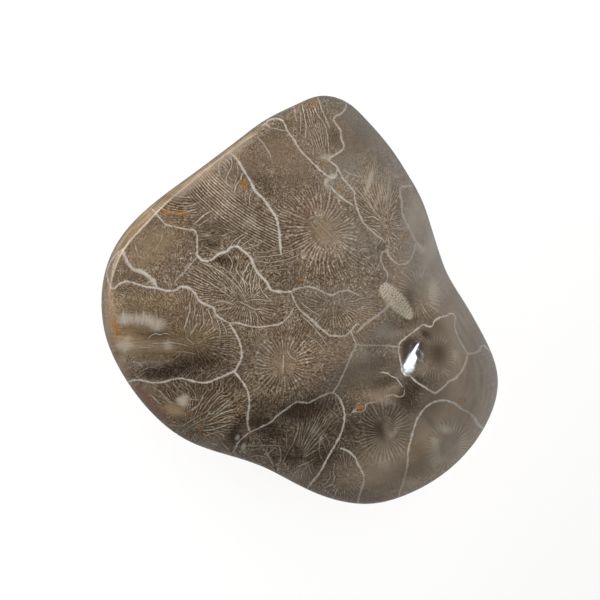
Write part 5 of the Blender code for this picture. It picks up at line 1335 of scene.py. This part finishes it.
    # pale clouds, partly painted sheen on the right half
    cloud = n.step(n.math("ADD", white, n.math("MULTIPLY", ragged_small, 0.45)), 0.05, 0.95, 0.0, 0.74)
    lobe = n.math("MULTIPLY", n.step(pu, 196.0, 172.0), n.math("MULTIPLY", n.step(pv, 296.0, 306.0), n.step(pv, 384.0, 374.0)))
    brushed = n.step(n.noise(n.join(n.math("MULTIPLY", pu, 0.30), n.math("MULTIPLY", pv, 0.035), 17.0), 1.0, 3.0, 0.6), 0.34, 0.66)
    brushed = n.blend(n.step(pv, 326.0, 336.0), brushed, banding)
    cloud = n.math("MULTIPLY", cloud, n.blend(lobe, 1.0, n.math("MULTIPLY_ADD", brushed, 0.34, 0.72)))
    colour = n.mix(cloud, colour, linear(174, 165, 151))
    colour = n.mix(n.math("MULTIPLY", n.math("MINIMUM", tan, 1.0), 0.60), colour, n.mix(fine, linear(122, 100, 74), linear(166, 143, 112)))
    red = n.step(n.math("ADD", maroon, n.math("MULTIPLY", ragged_small, 0.35)), 0.15, 0.90, 0.0, 0.80)
    colour = n.mix(red, colour, n.mix(fine, linear(84, 54, 42), linear(116, 84, 68)))
    rust = n.step(n.math("ADD", ochre, n.math("MULTIPLY", ragged_small, 1.25)), 0.10, 1.0, 0.0, 0.80)
    rust = n.math("MULTIPLY", rust, n.step(wobble, 0.28, 0.60, 0.60, 1.0))
    colour = n.mix(rust, colour, n.mix(n.step(speck, 0.35, 0.65), linear(104, 66, 28), linear(166, 117, 62)))
    rose = n.step(n.math("ADD", pink, n.math("MULTIPLY", ragged, 0.8)), 0.15, 0.95, 0.0, 0.55)
    colour = n.mix(rose, colour, linear(136, 106, 94))

    # pale patch of small open cells
    slant_x = n.math("ADD", n.math("MULTIPLY", pu, 0.80), n.math("MULTIPLY", pv, 0.60))
    slant_y = n.math("SUBTRACT", n.math("MULTIPLY", pv, 0.80), n.math("MULTIPLY", pu, 0.60))
    comb_cells = n.add("ShaderNodeTexVoronoi", voronoi_dimensions="2D", feature="DISTANCE_TO_EDGE")
    n.put(comb_cells.inputs["Vector"], n.join(n.math("MULTIPLY", slant_x, 0.30), n.math("MULTIPLY", slant_y, 0.46), 0.0))
    n.put(comb_cells.inputs["Scale"], 1.0)
    n.put(comb_cells.inputs["Randomness"], 0.9)
    open_cells = n.math("MULTIPLY", n.step(comb_cells.outputs["Distance"], 0.16, 0.36), n.step(speck, 0.30, 0.55, 0.35, 1.0))
    open_cells = n.math("MULTIPLY", open_cells, n.step(n.math("ADD", slant_y, n.math("MULTIPLY", n.math("SUBTRACT", sway, 0.5), 10.0)), 12.0, 7.0, 0.25, 1.0))
    patch = n.step(n.math("ADD", honey, n.math("MULTIPLY", ragged, 0.9)), 0.25, 0.90, 0.0, 0.90)
    ribs = n.step(n.math("SINE", n.math("MULTIPLY", n.math("ADD", slant_x, n.math("MULTIPLY", n.math("SUBTRACT", wobble, 0.5), 2.0)), 2.3)), -0.2, 0.9)
    comb_colour = n.mix(open_cells, n.mix(speck, linear(180, 169, 150), linear(222, 212, 193)), linear(128, 112, 90))
    comb_colour = n.mix(n.math("MULTIPLY", ribs, 0.50), comb_colour, linear(144, 130, 108))
    colour = n.mix(patch, colour, comb_colour)

    # white walls and veins
    def wall(name):
        across, half, strength = n.parts(n.attribute(name))
        waver = n.math("MULTIPLY", n.math("SUBTRACT", wobble, 0.5), 1.5)
        waver = n.math("ADD", waver, n.math("MULTIPLY", n.math("SUBTRACT", speck, 0.5), 1.0))
        gap = n.math("ABSOLUTE", n.math("ADD", across, waver))
        width = n.math("MULTIPLY", half, n.step(n.noise(solid, 0.13, 2.0, 0.5), 0.30, 0.70, 0.65, 1.15))
        share = n.math("DIVIDE", gap, width)
        core = n.step(share, 1.15, 0.30)
        return n.math("MULTIPLY", core, strength)

    walls = n.math("MAXIMUM", wall("wall_one"), wall("wall_two"))
    fleck = n.step(n.noise(solid, 0.26, 3.0, 0.65), 0.28, 0.64, 0.60, 1.0)
    walls = n.math("MULTIPLY", walls, fleck)
    colour = n.mix(walls, colour, n.mix(speck, linear(162, 154, 145), linear(202, 196, 189)))

    # painted highlight along the inner line of the bevel, with a pale band just inside it
    off_line = n.math("DIVIDE", n.math("ADD", bevel_out, n.math("MULTIPLY", n.math("SUBTRACT", wobble, 0.5), 1.6)), 1.0)
    line = n.math("MULTIPLY", n.step(n.math("ABSOLUTE", off_line), 1.6, 0.3), n.step(bevel_shown, 0.5, 1.0))
    line = n.math("MULTIPLY", line, n.step(n.noise(n.join(n.math("MULTIPLY", bevel_way, 0.05), 0.0, 7.0), 1.0, 2.0, 0.5), 0.30, 0.62, 0.30, 0.85))
    narrow = n.math("MULTIPLY", n.step(bevel_way, 350.0, 390.0), n.step(bevel_way, 505.0, 475.0))
    line = n.math("MULTIPLY", line, n.math("MULTIPLY_ADD", narrow, -0.6, 1.0))
    beside = n.math("MULTIPLY", n.step(n.math("ADD", bevel_out, n.math("MULTIPLY", n.math("SUBTRACT", wobble, 0.5), 5.0)), -9.0, -3.0), n.step(bevel_out, 2.5, -0.5))
    colour = n.mix(n.math("MULTIPLY", n.math("MULTIPLY", beside, narrow), 0.55), colour, linear(166, 150, 132))
    # the painted crease highlight
    colour = n.mix(line, colour, linear(204, 186, 164))

    principled = n.add("ShaderNodeBsdfPrincipled")
    n.put(principled.inputs["Base Color"], colour)
    rough = n.math("ADD", n.math("MULTIPLY_ADD", fine, 0.03, 0.020), n.step(n.math("ADD", matte, n.math("MULTIPLY", n.math("SUBTRACT", speck, 0.5), 0.9)), 0.40, 0.75, 0.0, 0.50))
    n.put(principled.inputs["Roughness"], rough)
    principled.inputs["IOR"].default_value = 1.52
    principled.inputs["Specular IOR Level"].default_value = 0.5
    bump = n.add("ShaderNodeBump")
    bump.inputs["Strength"].default_value = 0.12
    bump.inputs["Distance"].default_value = 0.000004
    pits = n.step(n.noise(solid, 1.1, 2.0, 0.5, distortion=0.3), 0.60, 0.72, 0.0, -5.0)
    n.put(bump.inputs["Height"], n.math("ADD", n.math("MULTIPLY_ADD", pattern, 0.6, pits), fine))
    n.put(principled.inputs["Normal"], bump.outputs["Normal"])
    output = n.add("ShaderNodeOutputMaterial")
    n.put(output.inputs["Surface"], principled.outputs[0])
    return material


stone = make_stone()
stone.data.materials.append(coral_material())
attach(stone, "root")
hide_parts("coral_stone")


# ---------------------------------------------------------------------------------------------
# Floor, light and camera
# ---------------------------------------------------------------------------------------------


def make_floor():
    mesh = bpy.data.meshes.new("floor")
    half = 3.0
    mesh.from_pydata([(-half, -half, 0), (half, -half, 0), (half, half, 0), (-half, half, 0)], [], [(0, 1, 2, 3)])
    floor = bpy.data.objects.new("floor", mesh)
    bpy.context.scene.collection.objects.link(floor)
    material = bpy.data.materials.new("pale_floor")
    material.use_nodes = True
    shader = material.node_tree.nodes["Principled BSDF"]
    shader.inputs["Base Color"].default_value = (0.955, 0.965, 0.98, 1)
    shader.inputs["Roughness"].default_value = 0.9
    shader.inputs["Specular IOR Level"].default_value = 0.1
    mesh.materials.append(material)
    floor.visible_glossy = False


def area_light(name, place, target, size, power, colour=(1, 1, 1)):
    data = bpy.data.lights.new(name, "AREA")
    data.shape = "RECTANGLE"
    data.size, data.size_y = size
    data.energy = power
    data.color = colour
    light = bpy.data.objects.new(name, data)
    bpy.context.scene.collection.objects.link(light)
    light.location = place
    from mathutils import Vector

    light.rotation_euler = (Vector(target) - Vector(place)).to_track_quat("-Z", "Y").to_euler()
    return light


make_floor()
key = area_light("key", (-0.68, 0.52, 0.80), (0, 0, 0.02), (0.40, 0.40), 17.4, (0.985, 0.98, 0.965))
key.data.use_shadow = False
key.visible_glossy = False


def glint_panel(name, start, end, half, radiance):
    """One narrow panel in the plane of the key light, from start to end in metres, that only shows as a
    mirrored highlight."""
    from mathutils import Matrix, Vector

    middle = Vector((-0.68, 0.52, 0.80))
    away = (middle - Vector((0, 0, 0.02))).normalized()
    across = Vector((0, 0, 1)).cross(away).normalized()
    upwards = away.cross(across)
    a = middle + across * start[0] + upwards * start[1]
    b = middle + across * end[0] + upwards * end[1]
    along = (b - a).normalized()
    length = (b - a).length + 2 * half
    light = area_light(name, (a + b) / 2, (0, 0, 0), (length, 2 * half), radiance * 4 * length * 2 * half, (0.80, 0.91, 1.0))
    light.rotation_euler = Matrix((along, away.cross(along), away)).transposed().to_euler()
    light.data.use_shadow = False
    light.visible_diffuse = False


glint_panel("glint_one", (0.038, -0.014), (0.058, -0.012), 0.005, 120)
glint_panel("glint_two", (0.026, 0.000), (-0.050, 0.096), 0.009, 150)
glint_panel("glint_three", (0.041, 0.002), (0.058, 0.060), 0.0147, 110)


def studio_walls():
    """Soft light all round: dim overhead and on the left, brighter low down on the right."""
    world = bpy.data.worlds.new("studio")
    bpy.context.scene.world = world
    world.use_nodes = True
    n = Nodes(world.node_tree)
    way = n.add("ShaderNodeTexCoord").outputs["Generated"]
    x, y, z = n.parts(way)
    side = n.math("ADD", n.math("MULTIPLY", x, 1.0), n.math("MULTIPLY", y, 0.05))
    right = n.step(side, 0.0, 1.0)
    low = n.step(z, 0.98, 0.40)
    amount = n.math("MULTIPLY_ADD", n.math("MULTIPLY", right, low), 0.60, 0.20)
    background = world.node_tree.nodes["Background"]
    background.inputs["Color"].default_value = (1.0, 0.975, 0.94, 1)
    n.put(background.inputs["Strength"], amount)


studio_walls()
bpy.context.scene.view_settings.view_transform = "Standard"

camera_data = bpy.data.cameras.new("camera")
camera_data.sensor_width = 36.0
camera_data.lens = 36.0 * (EYE - RIM) / 120.0
camera = bpy.data.objects.new("camera", camera_data)
bpy.context.scene.collection.objects.link(camera)
camera.location = (0.0, 0.0, EYE * MM)
camera.rotation_euler = (0.0, 0.0, 0.0)
camera_data.clip_start = 0.01
bpy.context.scene.camera = camera
